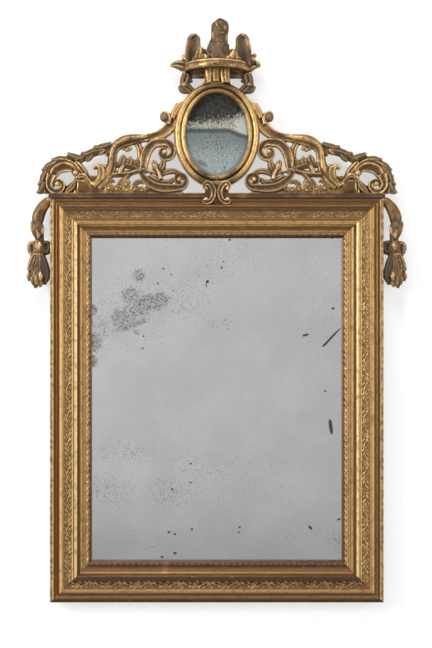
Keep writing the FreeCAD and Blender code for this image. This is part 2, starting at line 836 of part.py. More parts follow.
def fluted_section(width, depth, height):
    """A half round of reeds standing on a flat back."""
    points = []
    for index in range(post_flutes + 1):
        angle = math.pi * index / post_flutes
        points.append(at(width / 2 * math.cos(angle), crest_back + depth * math.sin(angle), height))
    edges = []
    heart = at(0, crest_back, height)
    for start, end in zip(points, points[1:]):
        middle = (start + end) / 2
        outward = (middle - heart).normalize()
        edges.append(Part.Arc(start, middle + outward * flute_sag, end).toShape())
    edges.append(line(points[-1], points[0]))
    return Part.Wire(edges)


def coronet_post():
    half_up = oval_half_sizes(oval_ring_width)[1]
    foot = oval_centre.z + half_up - oval_ring_width / 2
    sections = [fluted_section(post_foot_width, post_foot_depth, foot),
                fluted_section(post_top_width, post_top_depth, floor_bottom)]
    return one_solid(Part.makeLoft(sections, True, True).cut(oval_space))


def shoulder_leaf():
    stem = Stem(shoulder_pixels)
    depths = (crest_back, crest_front)
    column, row, size = shoulder_bud_pixels
    curl = [raised(disc(shoulder_bud_pixels), depths), bud((column, row, size * eye_share), crest_front)]
    leaf = raised(stem.outline(), depths).multiFuse([stem.crown(crest_front)] + curl)
    keep = block((-crest_reach, 0), (0, relief_front), (frame_top, coronet_base))
    return one_solid(leaf.common(keep).cut(oval_space))


# Eagle

def between(pixels):
    """A table's places in threes, with smooth ones put in between."""
    points = [Vector(*place) for place in pixels]
    curve = Part.BSplineCurve()
    curve.interpolate(points)
    marks = [curve.parameter(point) for point in points]
    places = []
    for first, last in zip(marks, marks[1:]):
        places += [curve.value(first + (last - first) * step / steps_between) for step in range(steps_between)]
    return places + points[-1:]


def oval_section(place, depth, half_deep):
    """A level oval at a pixel row and column, with its half width in pixels."""
    centre = at(crest_x(place.y), depth, crest_z(place.x))
    return ellipse_wire(centre, place.z * column_size, half_deep, Vector(1, 0, 0), Vector(0, 1, 0))


def eagle():
    depth = crest_back + eagle_depth
    sections = []
    for place in between(eagle_pixels):
        sections.append(oval_section(place, depth, place.z * column_size * eagle_flatness_share))
    body = Part.makeLoft(sections, True, True)
    brow = at(0, depth + beak_root, crest_z(eagle_pixels[-3][0]))
    fall = Vector(beak_turn, -beak_reach, -beak_drop)
    beak = Part.makeCone(beak_radius, beak_tip_radius, fall.Length, brow, fall)
    above = block((-crest_reach, crest_reach), (0, relief_front), (floor_top, floor_top + crest_rise))
    return one_solid(body.fuse(beak).common(above))


def eagle_wing():
    """The left wing, coped to the body and standing on the coronet's floor."""
    depth = crest_back + wing_depth
    places = between(wing_pixels)
    widest = max(place.z for place in places)
    sections = []
    for place in places:
        sections.append(oval_section(place, depth, wing_thickness / 2 * math.sqrt(place.z / widest)))
    above = block((-crest_reach, 0), (0, relief_front), (floor_top, floor_top + crest_rise))
    wing = Part.makeLoft(sections, True, True).common(above)
    return one_solid(wing.cut(nodes["eagle"]).cut(nodes["coronet"]))


# Pendants at the upper corners

def pendant_at(out, down):
    return at(-frame_side - out * column_size, pendant_depth, frame_top - down * row_size)


def pendant_body(pixels):
    """A round-sectioned length that swells and narrows along its line."""
    places = between(pixels)
    centres = [pendant_at(place.x, place.y) for place in places]
    sections = []
    for index, place in enumerate(places):
        along = (centres[min(index + 1, len(places) - 1)] - centres[max(index - 1, 0)]).normalize()
        across = Vector(along.z, 0, -along.x)
        half = place.z / 2 * column_size
        deep = half * pendant_flatness_share
        sections.append(ellipse_wire(centres[index], half, deep, across, Vector(0, 1, 0)))
    return Part.makeLoft(sections, True, True)


def tassel():
    """The tassel's round body, turned about the line that it hangs on."""
    places = pendant_tassel_pixels
    rim = [pendant_at(out - width / 2, down) for out, down, width in places]
    top, foot = [pendant_at(place[0], place[1]) for place in (places[0], places[-1])]
    edges = [spline(rim), line(rim[-1], foot), line(foot, top), line(top, rim[0])]
    return Part.Face(Part.Wire(edges)).revolve(top, Vector(0, 0, 1), full_turn)


def pendant():
    """The left pendant: a curved arm, a tied bow and a tassel of fruit."""
    pieces = [tassel()]
    for out, down, size in pendant_bow_pixels:
        pieces.append(ball(size / 2 * column_size, pendant_at(out, down)))
    first, last = pendant_tassel_pixels[2], pendant_tassel_pixels[4]
    for row in range(fruit_rows):
        share = row / (fruit_rows - 1)
        down = first[1] + share * (last[1] - first[1])
        half = first[2] / 2 * column_size - fruit_radius / 2
        for index in range(fruits_per_row):
            angle = math.pi * (index + row % 2 / 2 + fruit_phase_share) / fruits_per_row
            spot = pendant_at(first[0], down)
            spot += at(half * math.cos(angle), half * math.sin(angle), 0)
            pieces.append(ball(fruit_radius, spot))
    outside = block((-frame_side - crest_reach, -frame_side), (0, relief_front),
                    (-frame_top, frame_top - seat_clearance))
    return one_solid(pendant_body(pendant_arm_pixels).multiFuse(pieces).common(outside))


# Fasteners

def screw(x, z, back, length):
    """A countersunk screw driven forwards, its head flush at a depth."""
    head = Part.makeCone(screw_head_radius, screw_radius, screw_head_depth, at(x, back, z), at(0, 1, 0))
    return head.fuse(rod(at(x, back, z), at(x, back + length, z), screw_radius)).removeSplitter()


def drill(names, tools):
    """Cut a fastener's own shape out of each piece that it passes through."""
    tool = Part.makeCompound(tools)
    for name in names:
        nodes[name] = nodes[name].cut(tool)


def crest_dowels():
    """Pegs of the left half: three up from the rail, one across the boards' joint, one into the oval ring."""
    depth = (crest_back + crest_front) / 2
    feet = [(foot_dowel_pixel, dowel_sink), (end_dowel_pixel, dowel_sink), (bowl_dowel_pixel, bowl_dowel_sink)]
    pegs = []
    for pixel, sink in feet:
        x = crest_x(pixel)
        pegs.append(rod(at(x, depth, frame_top - dowel_sink), at(x, depth, plinth_top + sink), dowel_radius))
    joint, height = crest_x(joint_pixel), crest_z(joint_dowel_row_pixel)
    first, last = joint - joint_dowel_sink, joint + joint_dowel_sink
    pegs.append(rod(at(first, depth, height), at(last, depth, height), dowel_radius))
    first, last = crest_x(arm_dowel_pixels[0]), crest_x(arm_dowel_pixels[1])
    height = crest_z(arm_dowel_pixels[2])
    pegs.append(rod(at(first, depth, height), at(last, depth, height), arm_dowel_radius))
    return pegs


def batten_screws():
    half_up = oval_half_sizes(oval_ring_width / 2)[1]
    heights = [frame_top - batten_lap * share for share in lap_screw_shares]
    heights += [frame_top + plinth_height / 2, oval_centre.z - half_up, oval_centre.z + half_up]
    heights.append((coronet_base + oval_centre.z + half_up + oval_ring_width / 2) / 2)
    return [screw(0, height, 0, screw_length) for height in heights]


def cleat_screws():
    heights = [frame_top - cleat_lap * share for share in lap_screw_shares]
    heights.append((plinth_top + frame_top + cleat_rise) / 2)
    return [screw(crest_x(cleat_pixel), height, 0, screw_length) for height in heights]


# Hanging iron

hanger_x = hanger_inset - frame_side
plate_back = pocket_depth - hanger_plate_thickness
eye_radius = ring_wire_radius + eye_clearance + eye_wall
eye_depth = plate_back - eye_radius + eye_sink


def hanger_pocket():
    return block((hanger_x - pocket_width / 2, hanger_x + pocket_width / 2), (-overrun, pocket_depth),
                 (hanger_height - pocket_height / 2, hanger_height + pocket_height / 2))


def hanger_plate():
    """A forged plate with an eye standing on it for the ring."""
    plate = block((hanger_x - hanger_plate_width / 2, hanger_x + hanger_plate_width / 2),
                  (plate_back, pocket_depth),
                  (hanger_height - hanger_plate_height / 2, hanger_height + hanger_plate_height / 2))
    half = Vector(eye_thickness / 2, 0, 0)
    centre = at(hanger_x, eye_depth, hanger_height)
    bore = rod(centre - half * 2, centre + half * 2, ring_wire_radius + eye_clearance)
    return one_solid(plate.fuse(rod(centre - half, centre + half, eye_radius)).cut(bore))


def hanger_ring():
    centre = at(hanger_x, eye_depth, hanger_height - ring_radius)
    return Part.makeTorus(ring_radius, ring_wire_radius, centre, Vector(0, 1, 0))


def hanger_screws():
    spread = hanger_screw_spread / 2
    return [screw(hanger_x, hanger_height + way * spread, plate_back, hanger_screw_length) for way in (-1, 1)]


# Assembly

def both(shapes):
    return shapes + [mirrored(shape) for shape in shapes]


nodes = {}
rails = ["top_rail", "bottom_rail", "left_stile", "right_stile"]
nodes["top_rail"] = mitred_rail(frame_width, 0, at(0, 0, frame_top))
nodes["bottom_rail"] = mitred_rail(frame_width, half_turn, at(0, 0, -frame_top))
nodes["left_stile"] = mitred_rail(frame_height, -quarter_turn, at(-frame_side, 0, 0))
nodes["right_stile"] = mitred_rail(frame_height, quarter_turn, at(frame_side, 0, 0))
keys = [mitre_key(side, up) for side in (-1, 1) for up in (-1, 1)]
drill(rails, keys)
nodes["mitre_keys"] = Part.makeCompound(keys)

nodes["mirror_plate"] = mirror_plate
nodes["plate_blocks"] = Part.makeCompound(plate_blocks())
boards = back_boards()
board_names = ["backboard_left", "backboard_centre", "backboard_right"]
nodes.update(zip(board_names, boards))
nails = board_nails()
drill(rails + board_names, nails)
nodes["backboard_nails"] = Part.makeCompound(nails)

nodes["crest_plinth"] = plinth()
nodes["crest_scroll_left"] = crest_scroll()
nodes["end_scroll_left"] = end_scroll()
nodes["flowers_left"] = flower_spray()
nodes["oval_frame"] = oval_ring()
oval_fill = oval_face(oval_lap - seat_clearance)
oval_plate_back = oval_seat - oval_plate_thickness
nodes["oval_plate"] = raised(oval_fill, (oval_plate_back, oval_seat))
nodes["oval_backboard"] = raised(oval_fill, (oval_plate_back - oval_board_thickness, oval_plate_back))
pins = oval_pins()
drill(["oval_frame"], pins)
nodes["oval_pins"] = Part.makeCompound(pins)
nodes["clasp"] = clasp()
nodes["coronet"] = coronet()
nodes["coronet_post"] = coronet_post()
nodes["shoulder_leaf_left"] = shoulder_leaf()
nodes["eagle"] = eagle()
nodes["eagle_wing_left"] = eagle_wing()
nodes["pendant_left"] = pendant()

nodes["crest_batten"] = block((-batten_width / 2, batten_width / 2), (0, batten_thickness),
                              (frame_top - batten_lap, frame_top + batten_rise))
cleat_x = crest_x(cleat_pixel)
nodes["cleat_left"] = block((cleat_x - cleat_width / 2, cleat_x + cleat_width / 2), (0, batten_thickness),
                            (frame_top - cleat_lap, frame_top + cleat_rise))
drill(["top_rail"], [nodes["crest_batten"]] + both([nodes["cleat_left"]]))
screws = batten_screws() + both(cleat_screws())
drill(["top_rail", "crest_plinth", "oval_frame", "coronet_post", "crest_batten", "cleat_left"], screws)
nodes["crest_screws"] = Part.makeCompound(screws)
dowels = both(crest_dowels())
drill(["top_rail", "left_stile", "right_stile", "crest_plinth", "oval_frame"], dowels)
nodes["crest_dowels"] = Part.makeCompound(dowels)

peg_height = frame_top - pendant_dowel_drop
pegs = both([rod(at(-frame_side - pendant_dowel_sink, pendant_depth, peg_height),
                 at(-frame_side + pendant_dowel_root, pendant_depth, peg_height), dowel_radius)])
drill(["top_rail", "left_stile", "right_stile", "pendant_left"], pegs)
nodes["pendant_dowels"] = Part.makeCompound(pegs)

drill(["left_stile", "right_stile"], both([hanger_pocket()]))
nodes["hanger_plate_left"] = hanger_plate()
nodes["hanger_ring_left"] = hanger_ring()
hanger_fixings = both(hanger_screws())
drill(["left_stile", "right_stile", "hanger_plate_left"], hanger_fixings)
nodes["hanger_screws"] = Part.makeCompound(hanger_fixings)

for name in ("crest_scroll", "end_scroll", "flowers", "shoulder_leaf", "eagle_wing", "pendant", "cleat",
             "hanger_plate", "hanger_ring"):
    nodes[name + "_right"] = mirrored(nodes[name + "_left"])

os.makedirs("parts", exist_ok=True)
for name, shape in nodes.items():
    shape.exportStep("parts/" + name + ".step")
    print(name, len(shape.Solids), round(shape.Volume), shape.isValid())
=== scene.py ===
import math
import bmesh
import bpy
import numpy as np
from mathutils import Matrix, Vector, kdtree, noise


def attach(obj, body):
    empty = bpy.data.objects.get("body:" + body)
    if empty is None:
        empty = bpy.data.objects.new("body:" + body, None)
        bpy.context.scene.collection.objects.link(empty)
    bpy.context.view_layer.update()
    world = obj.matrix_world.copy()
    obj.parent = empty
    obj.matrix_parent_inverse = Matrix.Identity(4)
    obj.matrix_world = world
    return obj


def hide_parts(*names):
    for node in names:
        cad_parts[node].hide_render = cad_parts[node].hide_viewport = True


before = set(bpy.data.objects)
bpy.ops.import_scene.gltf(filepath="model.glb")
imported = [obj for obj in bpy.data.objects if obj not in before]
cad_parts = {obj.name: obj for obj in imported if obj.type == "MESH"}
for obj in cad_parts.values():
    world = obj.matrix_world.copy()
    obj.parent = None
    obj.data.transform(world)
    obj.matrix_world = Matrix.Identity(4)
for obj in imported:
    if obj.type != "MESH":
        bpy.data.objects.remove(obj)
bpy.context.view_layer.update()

# Moulded frame
# Four lengths of softwood moulding, mitred at the corners, laid with gesso and water gilt over red bole.
# Dirt, bare bole and painted shade stay in the hollows, the ridges are rubbed bright and carry a painted highlight, and
# the backs are bare wood.

mm = 0.001


def srgb(red, green, blue):
    """A given colour, as the light that it stands for."""
    shares = [value / 255 for value in (red, green, blue)]
    light = [share / 12.92 if share <= 0.04045 else ((share + 0.055) / 1.055) ** 2.4 for share in shares]
    return (*light, 1.0)


class Value:
    """One number in a finish's nodes; sums and products of it add Math nodes."""

    def __init__(self, finish, socket):
        self.finish = finish
        self.socket = socket

    def reckon(self, operation, first, second):
        return self.finish.node("ShaderNodeMath", {"operation": operation}, {0: first, 1: second})

    def __add__(self, other):
        return self.reckon("ADD", self, other)

    def __radd__(self, other):
        return self.reckon("ADD", other, self)

    def __sub__(self, other):
        return self.reckon("SUBTRACT", self, other)

    def __rsub__(self, other):
        return self.reckon("SUBTRACT", other, self)

    def __mul__(self, other):
        return self.reckon("MULTIPLY", self, other)

    def __rmul__(self, other):
        return self.reckon("MULTIPLY", other, self)

    def __abs__(self):
        return self.reckon("ABSOLUTE", self, 0)

    def least(self, other):
        return self.reckon("MINIMUM", self, other)

    def most(self, other):
        return self.reckon("MAXIMUM", self, other)


class Finish:
    """A material, or the world, made node by node."""

    def __init__(self, owner):
        owner.use_nodes = True
        self.owner = owner
        self.tree = owner.node_tree
        self.tree.nodes.clear()

    def node(self, kind, settings=None, inputs=None, output=0):
        made = self.tree.nodes.new(kind)
        for name, value in (settings or {}).items():
            if name == "stops":
                for index, (place, colour) in enumerate(value):
                    fresh = index > 1
                    stop = made.color_ramp.elements.new(place) if fresh else made.color_ramp.elements[index]
                    stop.position = place
                    stop.color = colour
            else:
                setattr(made, name, value)
        for name, value in (inputs or {}).items():
            if isinstance(value, Value):
                self.tree.links.new(value.socket, made.inputs[name])
            else:
                made.inputs[name].default_value = value
        return Value(self, made.outputs[output]) if len(made.outputs) else None

    def noise(self, place, scale, detail, roughness=0.55):
        return self.node("ShaderNodeTexNoise", None,
                         {"Vector": place, "Scale": scale, "Detail": detail, "Roughness": roughness})

    def rise(self, value, low, high):
        """0 below low and 1 above high, eased in between."""
        return self.node("ShaderNodeMapRange", {"interpolation_type": "SMOOTHSTEP"},
                         {"Value": value, "From Min": low, "From Max": high})

    def mix(self, share, first, second):
        return self.node("ShaderNodeMix", {"data_type": "RGBA"}, {0: share, 6: first, 7: second}, 2)

    def axes(self, place):
        return [self.node("ShaderNodeSeparateXYZ", None, {0: place}, axis) for axis in range(3)]

    def surface(self, settings):
        shader = self.node("ShaderNodeBsdfPrincipled", None, settings)
        self.node("ShaderNodeOutputMaterial", None, {"Surface": shader})
        return self.owner


def material(name):
    return Finish(bpy.data.materials.new(name))


bright_gold = srgb(224, 191, 128)
mid_gold = srgb(156, 120, 70)
brown_gold = srgb(92, 64, 36)
red_bole = srgb(118, 62, 28)
# The dark brown of old dirt, which the hollows also take as painted shade.
dirt_and_shade_brown = srgb(42, 29, 18)
dull_olive = srgb(80, 60, 36)
bare_wood = srgb(132, 101, 66)
wood_line = srgb(86, 62, 38)
dull_gold = srgb(142, 108, 64)
gesso_relief = 0.6 * mm
gilding_edge = 0.4 * mm
frame_side = 392 * mm
frame_top = 477 * mm
mitre_blend = 0.5 * mm


def rails(finish, place):
    """Where the two level lengths lie, and where the lower of them lies."""
    across, depth, height = finish.axes(place)
    level_rail = finish.rise((frame_side - abs(across)) - (frame_top - abs(height)), -mitre_blend, mitre_blend)
    return level_rail, finish.rise(height, 0.1, -0.1) * level_rail


def gilded(name, level_of, bare_depth, base_of=None, hollow_colour=dirt_and_shade_brown, age=0.0):
    """Worn water gilding: level_of gives -1 in a hollow to 1 on a ridge, hollows darkened by dirt and painted shade and
    ridges lit by a painted highlight, and wood shows behind a depth.
    """
    finish = material(name)
    place = finish.node("ShaderNodeTexCoord", None, None, "Object")
    across, depth, height = finish.axes(place)
    cloud = finish.noise(place, 24, 4)
    grain = finish.noise(place, 190, 5, 0.65)
    speck = finish.noise(place, 760, 2)
    level = level_of(finish, place) + (grain - 0.5) * 0.9 + (cloud - 0.5) * 1.1 - 0.3 * age
    # Hollows darken towards the hollow colour as dirt and painted shade, and ridges brighten towards bright gold as
    # rubbed gilding and a painted highlight.
    dirt_and_shade = finish.rise(level, -0.70, -1.35) if base_of else finish.rise(level, -0.45, -1.05)
    if base_of:
        gold = base_of(finish, place)
        gold = finish.mix(finish.rise(level, -0.05, -0.75) * 0.55, gold, brown_gold)
        gold = finish.mix(finish.rise(level, 0.30, 1.0) * 0.45, gold, bright_gold)
    else:
        gold = finish.mix(finish.rise(cloud, 0.38, 0.66), brown_gold, mid_gold)
        gold = finish.mix(finish.rise(level, 0.05, -0.85) * 0.8, gold, brown_gold)
        gold = finish.mix(finish.rise(level, 0.30, 1.40) * 0.74, gold, bright_gold)
    stain = finish.rise(finish.noise(place, 80, 4, 0.6), 0.50, 0.64)
    gold = finish.mix(stain * 0.45, gold, brown_gold)
    bole = finish.rise(grain * 0.6 + cloud * 0.4 + speck * 0.25, 0.70, 0.80) * 0.7
    gold = finish.mix(bole, gold, red_bole)
    gold = finish.mix(finish.rise(speck, 0.66, 0.74) * 0.7, gold, dirt_and_shade_brown)
    gold = finish.mix(0.5 * age, gold, dirt_and_shade_brown)
    # A high tone dulls and darkens the gilding; on strokes toned for light and shade, a high tone is painted shade and
    # a low tone a painted highlight.
    tone = finish.node("ShaderNodeAttribute", {"attribute_name": "tone"}, None, "Fac")
    dull = finish.rise(tone + (cloud - 0.5) * 0.8 + (grain - 0.5) * 0.4 + age * 0.5, 0.25, 0.85) * 0.85
    gold = finish.mix(dull, gold, finish.mix(finish.rise(level, 0.3, 1.3), dull_olive, dull_gold))
    gold = finish.mix(finish.rise(tone + (cloud - 0.5) * 0.4, 0.85, 1.25) * 0.8, gold, dirt_and_shade_brown)
    colour = finish.mix(dirt_and_shade * 0.93, gold, hollow_colour)
    metal = (1 - dirt_and_shade) * (1 - bole) * (1 - dull * 0.6) * 0.6
    rough = 0.34 + dirt_and_shade * 0.4 + dull * 0.14 + (grain - 0.3) * 0.24
    wood = finish.rise(depth, -bare_depth - gilding_edge, -bare_depth + gilding_edge)
    upright, level_grain = [
        finish.noise(finish.node("ShaderNodeMapping", None, {"Vector": place, "Scale": stretch}), 14, 5)
        for stretch in ((9, 60, 1), (1, 60, 9))]
    level_rail, lower = rails(finish, place)
    fibre = upright * (1 - level_rail) + level_grain * level_rail
    colour = finish.mix(wood, colour, finish.mix(fibre, wood_line, bare_wood))
    bump = finish.node("ShaderNodeBump", None,
                       {"Strength": 0.4, "Distance": gesso_relief, "Height": grain * 0.8 + speck * 0.3})
    return finish.surface({"Base Color": colour, "Metallic": metal * (1 - wood), "Roughness": rough.most(wood * 0.85),
                           "Normal": bump})


pale_edge = srgb(170, 148, 104)
bright_line = srgb(214, 178, 118)
hollow_red = srgb(120, 75, 33)
soft_gold = srgb(164, 126, 74)
frieze_ground = srgb(122, 92, 55)
torus_highlight = srgb(226, 194, 136)
cove_brown = srgb(102, 73, 41)
band_gold = srgb(186, 146, 90)
band_line = srgb(116, 82, 44)
tip_gold = srgb(168, 130, 86)
# Stops by inset in millimetres. The bright lines and the cream on the torus are painted highlights; the dark lines, the
# brown cove and the brown at the glass are painted shade; the red hollow is bole with painted shade on it.
moulding_colours = [(0, pale_edge), (5.5, pale_edge), (6.0, bright_line), (7.6, bright_line), (9.0, hollow_red),
                    (20.5, hollow_red), (23.0, band_line), (24.4, soft_gold), (25.4, bright_line), (28.4, bright_line),
                    (30.0, soft_gold), (34.4, soft_gold), (35.4, frieze_ground), (52.0, frieze_ground),
                    (53.0, bright_line), (55.4, bright_line), (56.4, band_line), (58.0, band_gold), (60.0, torus_highlight),
                    (63.6, torus_highlight), (66.0, band_line), (67.2, cove_brown), (71.0, cove_brown), (73.0, band_gold),
                    (76.0, band_gold), (77.2, band_line), (80.0, band_gold), (82.4, band_line), (84.6, bright_line),
                    (87.0, tip_gold), (90.0, tip_gold), (93.0, brown_gold)]
rail_dark = srgb(64, 43, 24)
rail_red = srgb(104, 70, 36)
rail_gold = srgb(134, 98, 56)
rail_line = srgb(176, 138, 88)
# The top and bottom rails have ramps of their own, whose lighter bands paint light on members that face up and whose
# darker bands paint shade on members that face down.
head_colours = [(0, rail_dark), (6.2, rail_dark), (8.0, rail_gold), (10.5, rail_red), (15.0, rail_red),
                (17.5, rail_gold), (20.0, rail_line), (23.6, rail_line), (25.6, rail_dark), (31.5, rail_dark),
                (34.5, rail_red), (37.0, rail_gold), (53.5, rail_gold), (56.0, rail_red), (59.0, rail_line),
                (63.0, rail_line), (65.0, bright_line), (68.5, bright_line), (70.5, rail_red), (78.0, rail_red),
                (81.0, rail_line), (88.0, rail_gold), (92.0, rail_dark)]
foot_colours = [(0, rail_dark), (7.0, rail_dark), (10.0, rail_gold), (17.0, rail_line), (20.0, rail_gold),
                (25.5, rail_red), (28.5, rail_line), (33.0, rail_line), (35.5, rail_red), (40.0, rail_red),
                (45.0, rail_dark), (54.0, rail_dark), (57.0, brown_gold), (62.0, rail_dark), (65.0, rail_dark),
                (68.0, rail_gold), (73.0, rail_red), (76.0, rail_gold), (79.0, rail_red), (83.0, rail_dark)]
rubbed_edge = srgb(104, 88, 58)
# The painted shade of the foot rail.
foot_painted_shade = srgb(74, 48, 26)
moulding_width = 97


def moulding_inset(finish, place):
    """How far a place lies in from the frame's outer edge, in millimetres."""
    across, depth, height = finish.axes(place)
    return (frame_side - abs(across)).least(frame_top - abs(height)) * (1 / mm)


def on_rails(finish, place, colour, rail_colour, share, foot_shade_share=0.5):
    """A colour drawn some way towards another on the two level lengths as painted shade, most at the foot, which is
    painted darkest.
    """
    level_rail, foot = rails(finish, place)
    drawn = finish.mix(level_rail * share, colour, rail_colour)
    return finish.mix(foot * foot_shade_share, drawn, foot_painted_shade)


def moulding_colour(finish, place):
    """The gold of each member of the moulding, with painted highlights and shade, its own painted light and shade on
    the top and bottom rails, the right stile's hollow painted lit, and the pale outer edge rubbed through in patches.
    """
    across, depth, height = finish.axes(place)
    inset = moulding_inset(finish, place)
    share = (inset + (finish.noise(place, 60, 3) - 0.5) * 1.6) * (1 / moulding_width)
    members, head, foot = [
        finish.node("ShaderNodeValToRGB", {"stops": [(edge / moulding_width, colour) for edge, colour in colours]},
                    {0: share})
        for colours in (moulding_colours, head_colours, foot_colours)]
    rubbed = (1 - finish.rise(inset, 5.0, 7.0)) * finish.rise(finish.noise(place, 120, 4), 0.42, 0.60)
    members = finish.mix(rubbed, members, rubbed_edge)
    # Painted light: the hollow of the right stile, which faces the light from the left, is painted soft gold in place
    # of its dark red.
    lit_side = finish.rise(inset, 12.0, 15.5) * finish.rise(inset, 26.0, 24.5) * finish.rise(across, -0.1, 0.1)
    members = finish.mix(lit_side * 0.85, members, soft_gold)
    # The top and bottom rails take their own ramps of painted light and shade.
    level_rail, lower = rails(finish, place)
    return finish.mix(lower, finish.mix(level_rail, members, head), foot)


def moulding_level(finish, place):
    """Old dirt and rubbing in streaks that run with the moulding."""
    return (finish.noise(place, 46, 4) - 0.5) * 1.3 + 0.1


def dress(finish, *names):
    """A finish on CAD nodes that are left showing."""
    for name in names:
        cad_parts[name].data.materials.clear()
        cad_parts[name].data.materials.append(finish)


moulding_back = 13 * mm
dress(gilded("moulding_gilding", moulding_level, moulding_back, moulding_colour),
      "top_rail", "bottom_rail", "left_stile", "right_stile")

# Carved frieze
# A running leaf scroll in low relief, cut in the frieze of each length of moulding on a dark ground.
# One repeat is carved here as small strokes and set along the four lengths.


def line_through(places, spacing):
    """A smooth line through places given as rows of numbers, the first two of them in the plane."""
    places = np.array(places, float)
    padded = np.vstack([2 * places[0] - places[1], places, 2 * places[-1] - places[-2]])
    rows = []
    for index in range(1, len(padded) - 2):
        before, first, last, after = padded[index - 1:index + 3]
        count = max(2, int(math.hypot(*(last - first)[:2]) / spacing))
        share = np.linspace(0, 1, count, endpoint=False)[:, None]
        rows.append(0.5 * (2 * first + (last - before) * share
                           + (2 * before - 5 * first + 4 * last - after) * share ** 2
                           + (3 * first - before - 3 * last + after) * share ** 3))
    return np.vstack(rows + [places[-1:]])


def closed_tube(rings, round_again=False):
    """A closed skin over rings of points, with flat ends or with its last ring joined to its first."""
    count, around = rings.shape[:2]
    faces = []
    for ring in range(count if round_again else count - 1):
        here, beside = ring * around, (ring + 1) % count * around
        for spot in range(around):
            after = (spot + 1) % around
            faces.append((here + spot, here + after, beside + after, beside + spot))
    if not round_again:
        faces.append(tuple(range(around - 1, -1, -1)))
        faces.append(tuple((count - 1) * around + spot for spot in range(around)))
    return rings.reshape(-1, 3), faces


rounded = [(-1, 0), (-0.82, 0.6), (-0.42, 0.94), (0, 1), (0.42, 0.94), (0.82, 0.6), (1, 0)]
thinnest_cut = 0.4 * mm


def sideways(flat):
    """The direction square to a flat line at each of its places."""
    along = np.gradient(flat, axis=0)
    along /= np.linalg.norm(along, axis=1)[:, None]
    return np.stack([along[:, 1], -along[:, 0]], axis=1)


def stroke(line, section, back, front, rise, below=None):
    """A length of carving along rows of x, z and width: its section stands on the front by a share of the width.

    It is closed at the depth of its back, or at a distance below its front."""
    flat = line[:, :2]
    across = sideways(flat)
    width = np.maximum(line[:, 2], thinnest_cut)
    fronts = front(flat) if callable(front) else np.full(len(flat), front)
    backs = np.full(len(flat), back) if below is None else fronts - below
    profile = [(-1, None)] + list(section) + [(1, None)]
    rings = np.zeros((len(flat), len(profile), 3))
    for index, (share, lift) in enumerate(profile):
        spot = flat + across * (share * width / 2)[:, None]
        depth = backs if lift is None else fronts + lift * rise * width
        rings[:, index, 0] = spot[:, 0]
        rings[:, index, 1] = -depth
        rings[:, index, 2] = spot[:, 1]
    return closed_tube(rings)


def joined(parts):
    """Several skins as one list of points and one of faces."""
    points, faces, start = [], [], 0
    for some, loops in parts:
        points.append(some)
        faces += [tuple(corner + start for corner in loop) for loop in loops]
        start += len(some)
    return np.vstack(points), faces


def mesh_of(name, skin):
    mesh = bpy.data.meshes.new(name)
    mesh.from_pydata(skin[0].tolist(), [], skin[1])
    work = bmesh.new()
    work.from_mesh(mesh)
    bmesh.ops.recalc_face_normals(work, faces=work.faces)
    work.to_mesh(mesh)
    work.free()
    mesh.shade_smooth()
    return mesh


def settle(name, mesh, finish, nodes=()):
    """A finished piece on the mirror's body, in place of the nodes named."""
    piece = bpy.data.objects.new(name, mesh)
    bpy.context.scene.collection.objects.link(piece)
    mesh.materials.clear()
    mesh.materials.append(finish)
    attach(piece, "mirror")
    if nodes:
        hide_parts(*nodes)
    return piece


frieze_repeat = 66 * mm
frieze_middle = 44 * mm
frieze_half = 9 * mm
frieze_clear = 4 * mm
frieze_root = 0.8 * mm
ground_depth = 53
ground_fall = 2
ground_hollow = 1.2
ground_sunk = 0.2
# The frieze's colour on the level rails, painted shade.
frieze_rail_shade = srgb(122, 90, 52)


def frieze_depth(flat):
    """The depth of the frieze's ground, which falls towards the glass and is a little hollow."""
    share = (-flat[:, 1] - frieze_middle) / frieze_half
    return (ground_depth - ground_fall * share - ground_hollow * (1 - share ** 2) - ground_sunk) * mm


def frieze_motif():
    """One repeat: a waving stem, two curls in its bends and the leaflets that fill the corners."""
    repeat = frieze_repeat / mm
    leaflets = [((4, 2.0, 1.6), (6.5, 5.4, 3.4), (10.5, 8.2, 0.8)), ((16, 4.4, 1.6), (20, 7.2, 3.0), (26, 8.4, 0.8)),
                ((24, 3.2, 1.6), (28.5, 4.6, 3.2), (33, 7.6, 0.8)), ((24, -2.0, 1.4), (28, -4.6, 3.0), (32, -8.0, 0.8)),
                ((8, -3.0, 1.4), (10, -6.6, 2.8), (15, -8.2, 0.8))]
    lines = [[(turn / 12 * repeat, 4.4 * math.sin(turn / 12 * 2 * math.pi), 2.2) for turn in range(13)]]
    for side, start in ((1, 0), (-1, repeat / 2)):
        curl = []
        for step in range(8):
            angle = math.radians(200 - 60 * step)
            radius = 4.3 - 0.42 * step
            curl.append((start + 17 + 1.25 * radius * math.cos(angle), side * (-1.6 + radius * math.sin(angle)),
                         2.3 - 0.14 * step))
        lines.append(curl)
        lines += [[(start + along, side * up, width) for along, up, width in leaflet] for leaflet in leaflets]
    parts = []
    for places in lines:
        rows = line_through(places, 2.2) * mm
        rows[:, 1] = -frieze_middle - rows[:, 1]
        rows[:, 0] -= frieze_repeat / 2
        parts.append(stroke(rows, rounded, None, frieze_depth, 0.85, frieze_root))
    return mesh_of("frieze_motif", joined(parts))


def new_tree(name, inputs):
    """A node tree with named inputs: the tree, the inputs' identifiers and the sockets that bring them in."""
    tree = bpy.data.node_groups.new(name, "GeometryNodeTree")
    tree.interface.new_socket(name="Geometry", in_out="OUTPUT", socket_type="NodeSocketGeometry")
    keys = {key: tree.interface.new_socket(name=key, in_out="INPUT", socket_type="NodeSocket" + kind).identifier
            for key, kind in inputs.items()}
    return tree, keys, tree.nodes.new("NodeGroupInput").outputs


